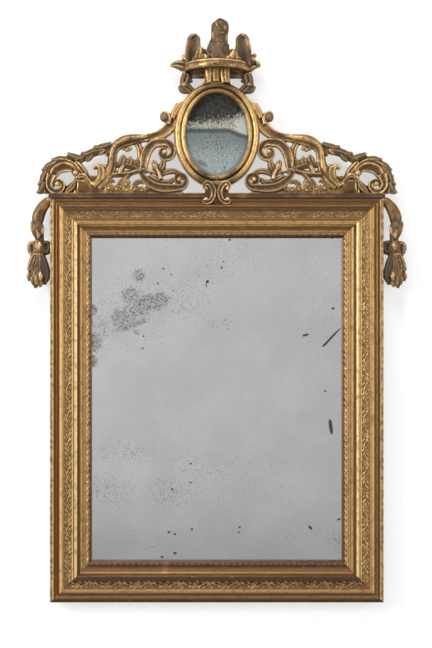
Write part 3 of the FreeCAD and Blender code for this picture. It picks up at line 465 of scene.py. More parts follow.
def tree_node(tree, kind, settings, links):
    made = tree.nodes.new(kind)
    for name, value in settings.items():
        setattr(made, name, value)
    for name, value in links.items():
        if isinstance(value, bpy.types.NodeSocket):
            tree.links.new(value, made.inputs[name])
        else:
            made.inputs[name].default_value = value
    return made


def close_tree(tree, given, set_out):
    """Ends a tree: what it sets out becomes one mesh, is put in its place and gets its finish."""
    real = tree_node(tree, "GeometryNodeRealizeInstances", {}, {"Geometry": set_out.outputs[0]})
    turned = tree_node(tree, "GeometryNodeTransform", {},
                       {"Geometry": real.outputs[0], "Translation": given["Place"], "Rotation": given["Turn"]})
    dressed = tree_node(tree, "GeometryNodeSetMaterial", {},
                        {"Geometry": turned.outputs[0], "Material": given["Finish"]})
    tree.links.new(dressed.outputs[0], tree.nodes.new("NodeGroupOutput").inputs[0])


row_tree, row_inputs, given = new_tree("carved_row", {
    "Motif": "Object", "Count": "Int", "Start": "Vector", "Step": "Vector", "Uneven": "Float", "Seed": "Int",
    "Place": "Vector", "Turn": "Vector", "Finish": "Material"})
points = tree_node(row_tree, "GeometryNodeMeshLine", {"mode": "OFFSET"},
                   {"Count": given["Count"], "Start Location": given["Start"], "Offset": given["Step"]})
motif = tree_node(row_tree, "GeometryNodeObjectInfo", {}, {"Object": given["Motif"]})
low = tree_node(row_tree, "ShaderNodeMath", {"operation": "SUBTRACT"}, {0: 1.0, 1: given["Uneven"]})
size = tree_node(row_tree, "FunctionNodeRandomValue", {"data_type": "FLOAT"},
                 {2: low.outputs[0], 3: 1.0, "Seed": given["Seed"]})
set_out = tree_node(row_tree, "GeometryNodeInstanceOnPoints", {},
                    {"Points": points.outputs[0], "Instance": motif.outputs["Geometry"],
                     "Scale": size.outputs[1]})
close_tree(row_tree, given, set_out)


def grown(name, tree, inputs, values):
    """The plain mesh that a node tree makes from the values of its named inputs."""
    host = bpy.data.objects.new(name, bpy.data.meshes.new(name))
    bpy.context.scene.collection.objects.link(host)
    growth = host.modifiers.new("growth", "NODES")
    growth.node_group = tree
    for key, value in values.items():
        growth[inputs[key]] = value
    seen = host.evaluated_get(bpy.context.evaluated_depsgraph_get())
    mesh = bpy.data.meshes.new_from_object(seen)
    host.modifiers.remove(growth)
    bpy.data.objects.remove(host)
    return mesh


def pattern(mesh):
    """An unseen object that carries a mesh into a node tree."""
    carrier = bpy.data.objects.new(mesh.name, mesh)
    bpy.context.scene.collection.objects.link(carrier)
    return carrier


def carved_level(finish, place):
    """The level that a carved piece carries in its points."""
    return finish.node("ShaderNodeAttribute", {"attribute_name": "level"}, None, "Fac")


def frieze_level(finish, place):
    """Fine grain and broad patches of wear on the scroll."""
    return finish.noise(place, 420, 3) * 0.9 + finish.noise(place, 30, 3) * 0.8 - 0.1


quarter = math.pi / 2
lengths = [("top", 2 * frame_side, (0, 0, frame_top), 0), ("bottom", 2 * frame_side, (0, 0, -frame_top), math.pi),
           ("left", 2 * frame_top, (-frame_side, 0, 0), -quarter),
           ("right", 2 * frame_top, (frame_side, 0, 0), quarter)]


def set_along(name, mesh, margin, pitch, finish, uneven=0.0, first_seed=0):
    """A pattern set along the four lengths of the frame, clear of their ends by a margin."""
    motif = pattern(mesh)
    for seed, (side, length, place, turn) in enumerate(lengths):
        run = length - 2 * margin
        count = round(run / pitch)
        step = run / count
        row = grown(name + side, row_tree, row_inputs,
                    {"Motif": motif, "Count": count, "Start": ((step - run) / 2, 0, 0), "Step": (step, 0, 0),
                     "Uneven": uneven, "Seed": first_seed + seed, "Place": place, "Turn": (0, turn, 0),
                     "Finish": finish})
        row.shade_smooth()
        settle(name + side, row, finish)
    bpy.data.objects.remove(motif)


def frieze_colour(finish, place):
    leaf = finish.mix(finish.rise(finish.noise(place, 40, 3), 0.35, 0.65), mid_gold, bright_line)
    return on_rails(finish, place, leaf, frieze_rail_shade, 0.75)


motif_back = 5 * mm
frieze_gilding = gilded("frieze_gilding", frieze_level, motif_back, frieze_colour)
set_along("frieze_", frieze_motif(), frieze_middle + frieze_clear, frieze_repeat, frieze_gilding)

# Sight edge
# A row of small leaf tips is cut along the inner edge of the moulding, each with a rib down its middle.
# The cuts between them are dark, and no two tips are quite the same size.

tip_pitch = 14 * mm
tip_inset = 86.6 * mm
tip_length = 8.2 * mm
tip_half = 5.8 * mm
tip_thick = 2.4
tip_root_gold = srgb(206, 172, 114)
# The brown of the tips at the glass is painted shadow.
tip_glass_shadow = srgb(54, 40, 24)
# The tips' colour on the level rails, painted shade.
tip_rail_shade = srgb(104, 74, 44)


def leaf_tip():
    """One leaf tip over the sight edge, closed underneath."""
    across = np.linspace(-1, 1, 9)
    rings = []
    for share in np.linspace(0, 1, 6):
        half = tip_half * math.sqrt(max(0.02, 1 - share ** 2.4))
        inset = tip_inset + share * tip_length
        base = 33.6 - 4.6 * share + 1.4 * (1 - (2 * share - 1) ** 2)
        rib = 1.5 * (1 - share ** 3)
        rib_at = [0.25 + 0.75 * (1 - abs(side)) ** 0.6 - 0.9 * abs(side) ** 6 for side in across]
        top = [(half * side, -(base + rib * lift) * mm, -inset) for side, lift in zip(across, rib_at)]
        rings.append(top + [(half, -(base - tip_thick) * mm, -inset), (-half, -(base - tip_thick) * mm, -inset)])
    return mesh_of("leaf_tip", closed_tube(np.array(rings)))


def tip_level(finish, place):
    return finish.noise(place, 300, 3) * 0.9 - 0.4


def tip_colour(finish, place):
    """Gold at the root of the leaf tips, darkening to brown at the glass as painted shadow."""
    inset = moulding_inset(finish, place)
    leaf = finish.mix(finish.rise(inset, 87.0, 91.5), tip_root_gold, tip_glass_shadow)
    return on_rails(finish, place, leaf, tip_rail_shade, 0.55, 0.85)


tip_gilding = gilded("tip_gilding", tip_level, motif_back, tip_colour)
set_along("sight_tips_", leaf_tip(), tip_inset + tip_length / 2, tip_pitch, tip_gilding, 0.008, 11)

# Main plate
# One hand-made sheet of silvered glass, grey with age, in the rebate behind the sight edge.
# The silvering has failed in a mottled cloud at the upper left, in spots, and in a few scratches at the right.

across_pixel = 2.35 * mm
middle_column = 217.0
axis_row = 324
axis_height = 179 * mm


def from_photo(column, row):
    return (column - middle_column) * across_pixel, axis_height + (axis_row - row) * across_pixel


def blot(across, height, column, row, half_wide, half_high, turn=0):
    """1 at the middle of an oval patch to 0 at its edge; sizes are in the photo's dots, the turn in degrees."""
    x, z = from_photo(column, row)
    cosine, sine = math.cos(math.radians(turn)), math.sin(math.radians(turn))
    wide, high = half_wide * across_pixel, half_high * across_pixel
    first = across * (cosine / wide) + height * (sine / wide) - (x * cosine + z * sine) / wide
    second = height * (cosine / high) - across * (sine / high) - (z * cosine - x * sine) / high
    return (1 - (first * first + second * second)).most(0)


def blots(across, height, patches):
    """The strongest of several oval patches at each place; a row holds a patch's place, halves, turn and strength."""
    strongest = None
    for column, row, wide, high, turn, strength in patches:
        patch = blot(across, height, column, row, wide, high, turn) * strength
        strongest = patch if strongest is None else strongest.most(patch)
    return strongest


plate_grey = srgb(184, 186, 187)
plate_pale = srgb(193, 194, 193)
failed_silver = srgb(66, 64, 58)
bare_glass = srgb(34, 33, 30)
cloud_patches = [(148, 303, 25, 13, 0, 1.0), (130, 296, 15, 13, 0, 0.85), (160, 301, 14, 13, 0, 0.9),
                 (138.5, 276.5, 9, 10, 0, 1.0), (131, 325.6, 28, 6, 18, 0.95), (122, 318, 19, 16, 10, 0.85),
                 (136, 312, 24, 12, 0, 0.78), (100, 328, 18, 26, 0, 0.5), (94, 343, 12, 15, 0, 0.9),
                 (93, 311, 6, 8, 0, 1.0), (92, 362, 8, 9, 0, 1.1), (136, 333, 7, 4, -20, 0.8)]
thin_patches = [(140, 302, 62, 58, 0, 0.34), (184, 304, 36, 30, 0, 0.40), (206, 276, 36, 34, 0, 0.28),
                (172, 492, 40, 26, 0, 0.44), (122, 452, 44, 20, 0, 0.42), (112, 492, 44, 26, 0, 0.40),
                (200, 470, 60, 22, 0, 0.34), (336, 540, 14, 20, 0, 0.5), (222, 322, 26, 12, 0, 0.34),
                (250, 486, 70, 40, 0, 0.2), (230, 250, 50, 40, 0, 0.22), (320, 300, 30, 70, 0, 0.24),
                (300, 540, 50, 20, 0, 0.3), (150, 545, 50, 18, 0, 0.36)]
dark_spots = [(207.6, 282, 2.0, 1.8), (206.4, 285.4, 0.7, 2.8), (163.4, 269, 1.1, 1.1), (157.8, 284, 1.1, 1.1),
              (171, 275, 1.0, 0.8), (143.4, 337, 1.1, 1.0), (142.4, 349, 1.2, 1.0), (173, 291, 0.8, 1.0),
              (222, 268, 1.2, 1.4), (224, 262, 1.0, 1.0), (230, 240, 1.6, 1.2), (333, 238, 1.8, 1.2),
              (334, 309, 2.0, 1.3), (326, 392, 1.0, 1.2), (240, 529, 1.5, 1.2), (239, 534, 1.2, 1.0),
              (192, 531, 1.5, 1.2), (169, 534, 1.8, 1.3), (175, 536, 1.4, 1.2), (175, 555, 2.2, 1.6),
              (162, 559, 1.8, 1.3), (191, 465, 1.4, 1.2), (191, 484, 1.2, 1.0), (172, 491, 1.4, 1.2)]
scratches = [(333, 337.4, 14, 1.25, 46), (331.6, 428, 2.1, 9.6, 8), (306.4, 335.8, 4.2, 1.4, 14),
             (326, 345, 5, 1.3, 40), (311, 529.4, 3.0, 1.6, -42), (339.6, 521, 2.8, 1.0, 24)]
plate = material("main_plate_silvering")
place = plate.node("ShaderNodeTexCoord", None, None, "Object")
across, depth, height = plate.axes(place)
mottle = blots(across, height, cloud_patches + thin_patches)
fine = plate.noise(place, 330, 1)
coarse = plate.noise(place, 90, 3)
decay = plate.rise(mottle.least(0.74) * 0.60 + (fine - 0.5) * 1.4 + (coarse - 0.5) * 0.5, 0.24, 0.62)
decay = decay.most(plate.rise(mottle, 0.34, 0.9) * 0.32)
marks = blots(across, height, [(*spot, 0, 1) for spot in dark_spots] + [(*scratch, 1) for scratch in scratches])
marks = plate.rise(marks + (fine - 0.5) * 0.9, 0.18, 0.42)
pepper = plate.rise(plate.noise(place, 900, 2) + plate.noise(place, 14, 3) * 0.5, 0.99, 1.03) * 0.55
dark = decay.most(marks).most(pepper)
veil = plate.noise(place, 9, 4)
silver = plate.mix(plate.rise(veil, 0.3, 0.7), plate_grey, plate_pale)
colour = plate.mix(dark * 0.85, silver, failed_silver)
colour = plate.mix(marks * 0.85, colour, bare_glass)
plate.surface({"Base Color": colour, "Metallic": 1 - dark * 0.85, "Roughness": 0.10 + dark * 0.5 + fine * 0.05})
dress(plate.owner, "mirror_plate")

# Back boards, blocks and nails
# Three thin pine boards close the back, nailed to a ledge in the moulding, over small blocks that hold the plate.
# The wood is dry and brown with age, and the nails are iron.

board_dark = srgb(104, 74, 44)
board_light = srgb(158, 121, 78)
pine_stain = srgb(62, 45, 30)
pine_relief = 0.6 * mm
iron_grey = srgb(58, 52, 47)
rust_light = srgb(92, 55, 34)
rust_dark = srgb(58, 38, 28)
rust_relief = 0.3 * mm


def old_pine(name, grain_scale, dark, light):
    """Dry old wood with faint rings, drawn out along its grain."""
    finish = material(name)
    place = finish.node("ShaderNodeTexCoord", None, None, "Object")
    drawn = finish.node("ShaderNodeMapping", None, {"Vector": place, "Scale": grain_scale})
    rings = finish.node("ShaderNodeTexWave", {"wave_type": "BANDS", "bands_direction": "X"},
                        {"Vector": drawn, "Scale": 6.0, "Distortion": 16.0, "Detail": 4.0, "Detail Scale": 0.5})
    fibre = finish.noise(drawn, 40, 5, 0.7)
    stain = finish.noise(place, 5, 4)
    colour = finish.mix(rings * 0.14 + fibre * 0.8, light, dark)
    colour = finish.mix(finish.rise(stain, 0.5, 0.75) * 0.5, colour, pine_stain)
    bump = finish.node("ShaderNodeBump", None,
                       {"Strength": 0.4, "Distance": pine_relief, "Height": rings * 0.5 + fibre})
    return finish.surface({"Base Color": colour, "Roughness": 0.72 + fibre * 0.2, "Normal": bump})


def rusted_iron():
    """Wrought iron with patches of rust."""
    finish = material("rusted_iron")
    place = finish.node("ShaderNodeTexCoord", None, None, "Object")
    rust = finish.noise(place, 300, 5, 0.65)
    patch = finish.rise(finish.noise(place, 70, 3), 0.42, 0.62)
    colour = finish.mix(patch, iron_grey, finish.mix(rust, rust_light, rust_dark))
    bump = finish.node("ShaderNodeBump", None, {"Strength": 0.4, "Distance": rust_relief, "Height": rust})
    return finish.surface({"Base Color": colour, "Metallic": 0.75 - patch * 0.6, "Roughness": 0.5 + patch * 0.3,
                           "Normal": bump})


board_pine = old_pine("board_pine", (1, 1, 0.06), board_dark, board_light)
dress(board_pine, "backboard_left", "backboard_centre", "backboard_right", "oval_backboard", "plate_blocks")
dress(rusted_iron(), "backboard_nails", "oval_pins", "crest_screws", "hanger_screws", "hanger_plate_left",
      "hanger_plate_right", "hanger_ring_left", "hanger_ring_right")

# Crest plinth
# A low moulding along the top of the frame, on which the crest stands: a thin bright fillet over a dark hollow.
# It laps a little over the front of the top rail and is darker than the rest.

plinth_half = 395 * mm
plinth_section = [(14, 477.2), (14, 485.5), (40.8, 485.5), (42.2, 484.9), (42.4, 483.9), (41.6, 483.1), (40.9, 482.2),
                  (41.2, 480.6), (42.4, 478.6), (44.0, 476.8), (44.6, 474.8), (44.2, 473.2), (43.0, 472.4),
                  (40.3, 472.4), (40.3, 477.2)]
plinth_fillet = (482.6 * mm, 483.8 * mm)
plinth_hollow = srgb(56, 34, 16)
gilt_back = 15 * mm
plinth_rings = [[(side * plinth_half, -depth * mm, height * mm) for depth, height in plinth_section]
                for side in np.linspace(-1, 1, 60)]


def plinth_level(finish, place):
    across, depth, height = finish.axes(place)
    fillet = finish.rise(height, *plinth_fillet)
    return fillet * 1.4 - 0.95 + (finish.noise(place, 30, 3) - 0.5) * 1.2


plinth_gilding = gilded("plinth_gilding", plinth_level, gilt_back, None, plinth_hollow)
plinth_mesh = mesh_of("plinth_moulding", closed_tube(np.array(plinth_rings)))
settle("plinth_moulding", plinth_mesh, plinth_gilding, ["crest_plinth"])

# Pierced crest
# Two carved boards beside the oval: an arm that falls from the oval in a wave, C-scrolls with a gouged face and
# raised rims that wind into volutes, leaf sprigs and a spiked garland, all pierced through.

crest_wide = 424 / 180.5 * mm
crest_high = 272 / 116 * mm
crest_middle = 218.5
crest_foot = 197.5
crest_back = 14 * mm
crest_front = 33 * mm
wood_grain = 1.4 * mm


def crest_place(column, row):
    """Where columns and rows read off the photo lie across and up the crest."""
    return (column - crest_middle) * crest_wide, frame_top + (crest_foot - row) * crest_high


def crest_line(places, spacing=0.6):
    """Columns, rows and widths read off the photo as rows of x, z and width."""
    rows = line_through(places, spacing)
    return np.stack([*crest_place(rows[:, 0], rows[:, 1]), rows[:, 2] * crest_wide], axis=1)


gouged = [(-1, 0), (-0.96, 0.52), (-0.85, 0.80), (-0.70, 0.76), (-0.50, 0.46), (-0.26, 0.18), (0, 0.08),
          (0.26, 0.18), (0.50, 0.46), (0.70, 0.76), (0.85, 0.80), (0.96, 0.52), (1, 0)]
veined = [(-1, -0.2), (-0.8, 0.62), (-0.42, 1.0), (-0.14, 0.74), (0, 0.36), (0.14, 0.74), (0.42, 1.0), (0.8, 0.62),
          (1, -0.2)]
keeled = [(-1, -0.1), (-0.62, 0.36), (-0.22, 0.62), (0, 1), (0.22, 0.62), (0.62, 0.36), (1, -0.1)]
ribbon = [(-1, 0), (-0.92, 0.42), (-0.74, 0.55), (-0.40, 0.34), (0, 0.24), (0.40, 0.30), (0.74, 0.62), (0.92, 0.5),
          (1, 0)]
bent_arm = [(-1, 0), (-0.9, 0.36), (-0.72, 0.42), (-0.58, 0.34), (-0.35, 0.72), (0, 0.98), (0.4, 0.94), (0.8, 0.55),
            (1, 0)]


def cut(places, section, rise, back, front, tone=0.0):
    """A stroke between two depths, with a tone for how dull its gilding has gone; on some strokes a high tone is
    painted shade and a low one a painted highlight.
    """
    return *stroke(crest_line(places), section, back, front, rise), tone


def carving(places, section, rise, lift=0, tone=0.0, back=crest_back):
    """A stroke that stands on the crest's front, lifted by some millimetres."""
    return cut(places, section, rise, back, crest_front + lift * mm, tone)


def winding(places, volute, turn):
    """A scroll's places carried on into the spiral of its volute, narrowing to the eye."""
    column, row, outer, inner, wide, narrow = volute
    steps = math.ceil(abs(turn[1]) / 30)
    spiral = []
    for step in range(steps + 1):
        share = step / steps
        angle = math.radians(turn[0] + share * turn[1])
        radius = outer + share * (inner - outer)
        spiral.append((column + radius * math.cos(angle), row - radius * math.sin(angle),
                       wide + share * (narrow - wide)))
    return places + spiral


def knob(column, row, radius, depth, tone=0.0, squash=(1, 1, 1)):
    """A round form on the crest, its middle at a depth."""
    ball = bmesh.new()
    bmesh.ops.create_icosphere(ball, subdivisions=3, radius=1)
    points = np.array([spot.co for spot in ball.verts]) * radius * crest_wide * np.array(squash)
    faces = [tuple(spot.index for spot in face.verts) for face in ball.faces]
    ball.free()
    x, z = crest_place(column, row)
    return points + (x, -depth, z), faces, tone


def slab(corners, back, front, tone=0.0):
    """A flat block of an outline given in the photo's columns and rows."""
    outline = np.array(corners, float)
    x, z = crest_place(outline[:, 0], outline[:, 1])
    rings = [np.stack([x, np.full(len(x), -depth), z], axis=1) for depth in (back, front)]
    return *closed_tube(np.array(rings)), tone


def averaged(points, edges, rounds):
    """Rows of numbers at a mesh's points drawn towards those of their neighbours, round by round."""
    count = np.bincount(edges.ravel(), minlength=len(points))[:, None]
    for turn in range(rounds):
        total = np.zeros_like(points)
        for axis in range(points.shape[1]):
            total[:, axis] = (np.bincount(edges[:, 0], points[edges[:, 1], axis], len(points))
                              + np.bincount(edges[:, 1], points[edges[:, 0], axis], len(points)))
        points = 0.5 * points + 0.5 * total / count
    return points


def mesh_arrays(mesh):
    points = np.empty(len(mesh.vertices) * 3)
    mesh.vertices.foreach_get("co", points)
    edges = np.empty(len(mesh.edges) * 2, int)
    mesh.edges.foreach_get("vertices", edges)
    return points.reshape(-1, 3), edges.reshape(-1, 2)


def point_normals(mesh):
    normals = np.empty(len(mesh.vertices) * 3)
    mesh.vertices.foreach_get("normal", normals)
    return normals.reshape(-1, 3)


def mark(mesh, name, values):
    mesh.attributes.new(name, "FLOAT", "POINT").data.foreach_set("value", values)


def mark_levels(mesh, fine=0.16 * mm, broad=0.9 * mm):
    """Marks each point from -1 in a hollow to 1 on a ridge, for the gilding to read."""
    points, edges = mesh_arrays(mesh)
    normals = point_normals(mesh)
    near = averaged(points, edges, 5)
    far = averaged(near, edges, 30)
    level = ((points - near) * normals).sum(1) / fine * 0.6 + ((near - far) * normals).sum(1) / broad * 0.5
    mark(mesh, "level", np.clip(level, -1.2, 1.2))


def carved(name, parts, grain=wood_grain, tool=0.22 * mm):
    """Closed forms cut from one block of wood, with the slight unevenness of the tool."""
    skin = joined([part[:2] for part in parts])
    block = bpy.data.objects.new(name, mesh_of(name, skin))
    bpy.context.scene.collection.objects.link(block)
    shaping = block.modifiers.new("block", "REMESH")
    shaping.mode = "VOXEL"
    shaping.voxel_size = grain
    seen = block.evaluated_get(bpy.context.evaluated_depsgraph_get())
    mesh = bpy.data.meshes.new_from_object(seen)
    bpy.data.objects.remove(block)
    tones = np.concatenate([np.full(len(part[0]), part[2]) for part in parts])
    tree = kdtree.KDTree(len(tones))
    for index, spot in enumerate(skin[0]):
        tree.insert(spot, index)
    tree.balance()
    points, edges = mesh_arrays(mesh)
    points = averaged(points, edges, 2)
    wave = np.array([noise.noise(Vector(spot) * 170) for spot in points])
    points += point_normals(mesh) * (wave * tool)[:, None]
    mesh.vertices.foreach_set("co", points.ravel())
    mesh.update()
    mark_levels(mesh)
    nearest = np.array([tones[tree.find(spot)[1]] for spot in points])
    mark(mesh, "tone", averaged(nearest[:, None], edges, 4)[:, 0])
    mesh.shade_smooth()
    return mesh


def mirrored(mesh, name):
    """The same carving for the other side of the centre line."""
    other = mesh.copy()
    other.name = name
    points = mesh_arrays(mesh)[0] * (-1, 1, 1)
    other.vertices.foreach_set("co", points.ravel())
    other.flip_normals()
    other.update()
    return other


def settle_pair(piece, mesh, finish, node=None):
    """A carving on the left and its mirror image on the right, in place of the two nodes of a name."""
    for side, half in (("_left", mesh), ("_right", mirrored(mesh, (node or piece) + "_right"))):
        settle(piece + side, half, finish, [node + side] if node else ())


crest_gilding = gilded("crest_gilding", carved_level, gilt_back)
arm = [(180, 104, 4.5), (176.8, 112, 7), (174.4, 119.5, 9.6), (171.4, 127, 11.4), (165.6, 132.8, 10.4),
       (157.6, 136.4, 8.8), (149, 138, 8), (141, 138.8, 8), (133, 140.4, 6)]
hump = [(154, 136.2, 2), (148, 137.4, 5), (141, 138.8, 8.2), (133, 140, 10.6), (126, 141.8, 11.6), (119.4, 145.2, 10),
        (115.2, 150.5, 8.8), (113.8, 157, 8.8), (113.4, 163.5, 9.4), (111.4, 170.5, 10), (107, 177.5, 10.4),
        (100.5, 183, 9), (92, 186, 7)]
c_scroll = [(144.8, 173, 5.4), (145.6, 164, 8.4), (147, 156, 9.6), (150.4, 149, 9.4), (156, 144.2, 8.6)]
bowl = [(141, 171, 4.6), (146, 178.6, 7), (152.5, 184.6, 8.2), (160.5, 188.2, 8.8), (170, 189, 8.6)]
crest_parts = [
    # the arm from the oval, the bent arm beyond it and the folds where that ends
    carving(arm, ribbon, 0.42, 0, 0.3), carving(hump, bent_arm, 0.42, 0.5, -0.35),
    carving([(95, 187, 7), (101, 181, 8), (102.8, 174.4, 7.6), (101.6, 168.8, 6.4), (98, 166.6, 5), (94.4, 169.2, 3)],
            rounded, 0.40, 3, 0.15),
    carving([(100, 189, 7), (106.6, 182, 7.4), (108.6, 174.6, 6.6), (107, 168.4, 5), (103.6, 165.4, 3)],
            rounded, 0.40, 2, 0.35),
    carving([(98, 186, 2.6), (104.8, 179, 3), (105.6, 171.8, 2.6), (103.6, 167, 1.6)], rounded, 0.6, 7, 0.0),
    # the curl at the oval's shoulder, and the two great scrolls with the eyes of their volutes
    knob(166.2, 117.8, 4.9, 31 * mm, 1.0),
    carving([(170.6, 125, 3.6), (171.6, 119, 3.6), (169.2, 114.2, 3), (165, 112.8, 2.4), (162, 115.6, 2)],
            rounded, 0.5, 4),
    carving(winding(c_scroll, (166.6, 152.4, 9.9, 2.4, 7.8, 3.2), (105, -400)), gouged, 0.30, 1, 0.42),
    knob(166.4, 152.8, 2.8, 36 * mm),
    carving([(138, 143, 6), (141.6, 150, 7), (142.2, 158, 7), (140.4, 166.5, 5.5)], veined, 0.34, -2, 0.35),
    carving(winding(bowl, (181.2, 180.8, 7.6, 2.2, 6.6, 2.8), (-95, 400)), gouged, 0.30, 1, 0.72),
    knob(181.2, 180.2, 2.6, 37 * mm),
    # the leaves that grow in the bowl and between the scrolls
    carving([(150, 176.4, 5), (155, 180.4, 8.4), (161.5, 183.6, 8.8), (168.5, 183.4, 7), (175, 179.6, 4)],
            veined, 0.32, -3, 0.75),
    carving([(141, 170.6, 5), (148, 170.8, 4.6), (154, 172, 3.8), (160.6, 175, 4)], rounded, 0.45),
    carving([(160.6, 174, 3), (157.4, 168, 6.6), (155.6, 163, 5.4), (155.2, 160.4, 2)], veined, 0.4, 1, 0.75),
    carving([(161.4, 172.6, 3), (163.6, 167.4, 6.8), (164.6, 162.6, 5.6), (164.2, 159.8, 2)], veined, 0.4, 1, 0.75),
    carving([(162.2, 180, 4.4), (161, 174.6, 4), (158.6, 169.8, 3), (156.4, 165, 2.4)], rounded, 0.55, 4),
    carving([(162.6, 175.6, 3.6), (168.6, 172.2, 5.6), (175.4, 171.6, 5.4), (183, 174.6, 3.4)], veined, 0.36, 0, 0.7),
    # the sprig in the middle opening, with its stalk and the bars that hold it
    carving([(117.6, 166, 4), (124.6, 164.6, 7), (131, 165.4, 8), (138.6, 168, 5)], keeled, 0.34, 1, 0.9),
    carving([(122.6, 165, 6), (124.6, 160, 8.4), (125.2, 155.2, 1.8)], veined, 0.34, 2, 0.9),
    carving([(130, 166, 6), (131.6, 161.4, 7.4), (131.8, 157, 1.8)], veined, 0.34, 2, 0.9),
    carving([(135.4, 165, 4.4), (138, 161.6, 4.2), (141.4, 160.6, 2)], veined, 0.4, 1, 0.6),
    carving([(125.4, 165, 4), (122.8, 169.4, 4.8), (121.4, 174.4, 5)], rounded, 0.5, 1),
    carving([(112, 174.8, 6), (121, 174.4, 6.4), (130.6, 173.4, 5.6), (141, 170.4, 5)], keeled, 0.42, 0, 0.4),
    carving([(132, 173.4, 4.6), (128, 177.4, 5.4), (125.2, 183, 5.4), (125, 190, 6)], keeled, 0.42, 0, 0.2),
    # the spiked garland that falls to the joint
    carving([(113.4, 144.4, 5.4), (106, 147.4, 8), (99.6, 148.8, 7.4), (95, 146.2, 1.8)], keeled, 0.46, 0, 0.8),
    carving([(105, 150.2, 6.4), (95, 152.6, 8), (88, 154.8, 7), (82.2, 153.0, 1.8)], keeled, 0.46, 0, 0.85),
    carving([(90, 154.6, 6), (83, 158.6, 7.2), (76.6, 160.4, 6)], keeled, 0.46, 0, 0.85),
    carving([(93, 154.4, 6), (90, 158.4, 5.4), (87.4, 162, 1.4)], veined, 0.4, 0, 0.75),
    carving([(105, 149.6, 6), (103, 152.6, 4.8), (101, 155, 1.6)], veined, 0.4, 1, 0.3),
    carving([(111, 148, 5), (108.4, 152.6, 4.4), (107.4, 156.4, 1.4)], veined, 0.4, -1, 0.6),
    carving([(77, 162.4, 4.5), (80.4, 166.4, 7), (84.6, 171.6, 7.4), (88.4, 177.6, 5)], veined, 0.38, 0, 0.45),
    # the small leaves and berries at the joint's foot, and the board that all of it stands on
    carving([(79.6, 178, 4), (84.6, 176.4, 6), (88.6, 179.4, 4), (93, 184, 3)], veined, 0.42, 3, 0.2),
    carving([(80, 185, 3), (84, 182.4, 5), (90, 184, 4)], rounded, 0.4, 2, 0.3), knob(86, 176, 2.4, 36 * mm, 0.3),
    knob(93.2, 184.2, 2.0, 37 * mm),
    carving([(100, 188, 3), (103.6, 185, 5), (107.6, 187.6, 4)], veined, 0.4, 2, 0.6),
    knob(125.2, 149.0, 2.3, 31 * mm, 0.6), knob(128.6, 150.4, 2.4, 31 * mm, 0.6), knob(132, 149.2, 2.2, 31 * mm, 0.6),
    carving([(78.6, 186.4, 14), (88, 187.2, 13), (99, 189.6, 9), (107, 191, 5)], rounded, 0.14, 1.6, -0.3),
    slab([(77, 194.2), (77, 178.6), (84, 176.4), (96, 175.6), (104, 180), (108, 184.6), (150, 188), (186, 192.6),
          (186, 194.2)], crest_back, crest_front + 0.5 * mm, 0.1)]
settle_pair("crest", carved("crest_scroll_left", crest_parts), crest_gilding, "crest_scroll")

# Crest ends
# Outside a straight joint on each side, a great gouged C-scroll winds into a volute on the frame's corner.
# A fringe of pointed leaves runs round its back, and a dark leaf fills its foot.

deep_gouge = [(-1, 0), (-0.94, 0.2), (-0.7, -0.26), (-0.36, -0.30), (-0.08, 0.02), (0.12, 0.48), (0.26, 0.70),
              (0.38, 0.62), (0.54, 0.30), (0.70, 0.36), (0.86, 0.62), (0.95, 0.45), (1, 0)]
end_band = [(77.0, 175.4, 6), (75.6, 170, 8.6), (70.6, 166.6, 11.5), (64, 166.2, 13), (57.4, 169, 12.4),
            (53.2, 175, 10.4)]
fringe = [[(84, 159.8, 6), (77, 158.2, 7.4), (72, 156.2, 6.4), (68.8, 152.8, 1.8)],
          [(68.6, 160.4, 6), (61, 159.8, 7), (56.5, 160.8, 6), (52.6, 159.2, 1.8)],
          [(56, 163.4, 6), (49.8, 166.6, 7), (46.2, 169.8, 5.4), (42.4, 170, 1.6)],
          [(48, 172, 6), (44.6, 179, 7), (42.4, 183.6, 5.4), (38.4, 185.2, 1.6)],
          [(45, 183, 6.6), (43, 189.4, 7.4), (41, 192, 5.6), (37.4, 193.2, 1.8)],
          [(50.5, 167, 6), (46.6, 173, 6), (43.6, 176.4, 4), (41, 176.6, 1.6)]]
end_parts = [
    carving(end_band, deep_gouge, 0.22, 2),
    carving(winding(end_band[-1:], (58.8, 185.4, 8.4, 2.4, 6.8, 3.0), (165, 385)), gouged, 0.34, 2),
    knob(58.9, 185.0, 2.6, 38 * mm), knob(77.0, 174.0, 3.2, 34 * mm),
    carving([(45.6, 193.6, 7), (46.2, 183, 7.6), (49.6, 172, 7.6), (56.5, 163.8, 7), (66, 159.8, 6.4),
             (77, 160.4, 5.6)], keeled, 0.34, -3, 0.65),
    carving([(76.4, 181, 3), (74.4, 186.4, 6), (70.4, 191, 6), (66.6, 194, 2.6)], veined, 0.42, 1, 0.8),
    slab([(46, 194.2), (50, 189), (66, 188), (72, 183), (76.9, 179), (76.9, 194.2)],
         crest_back, crest_front - 5 * mm, 0.8),
    slab([(75.4, 194.2), (75.4, 177.6), (77, 177.6), (77, 194.2)], crest_back, crest_front + 2.5 * mm)]
end_parts += [carving(places, keeled, 0.46, 0, 0.8) for places in fringe]
settle_pair("crest_end", carved("end_scroll_left", end_parts), crest_gilding, "end_scroll")

# Flower sprays
# A row of small open roses under curling leaves, carved apart and planted on the foot of the crest with glue.
# Each rose has five cupped petals round a knob, and no two are turned alike.

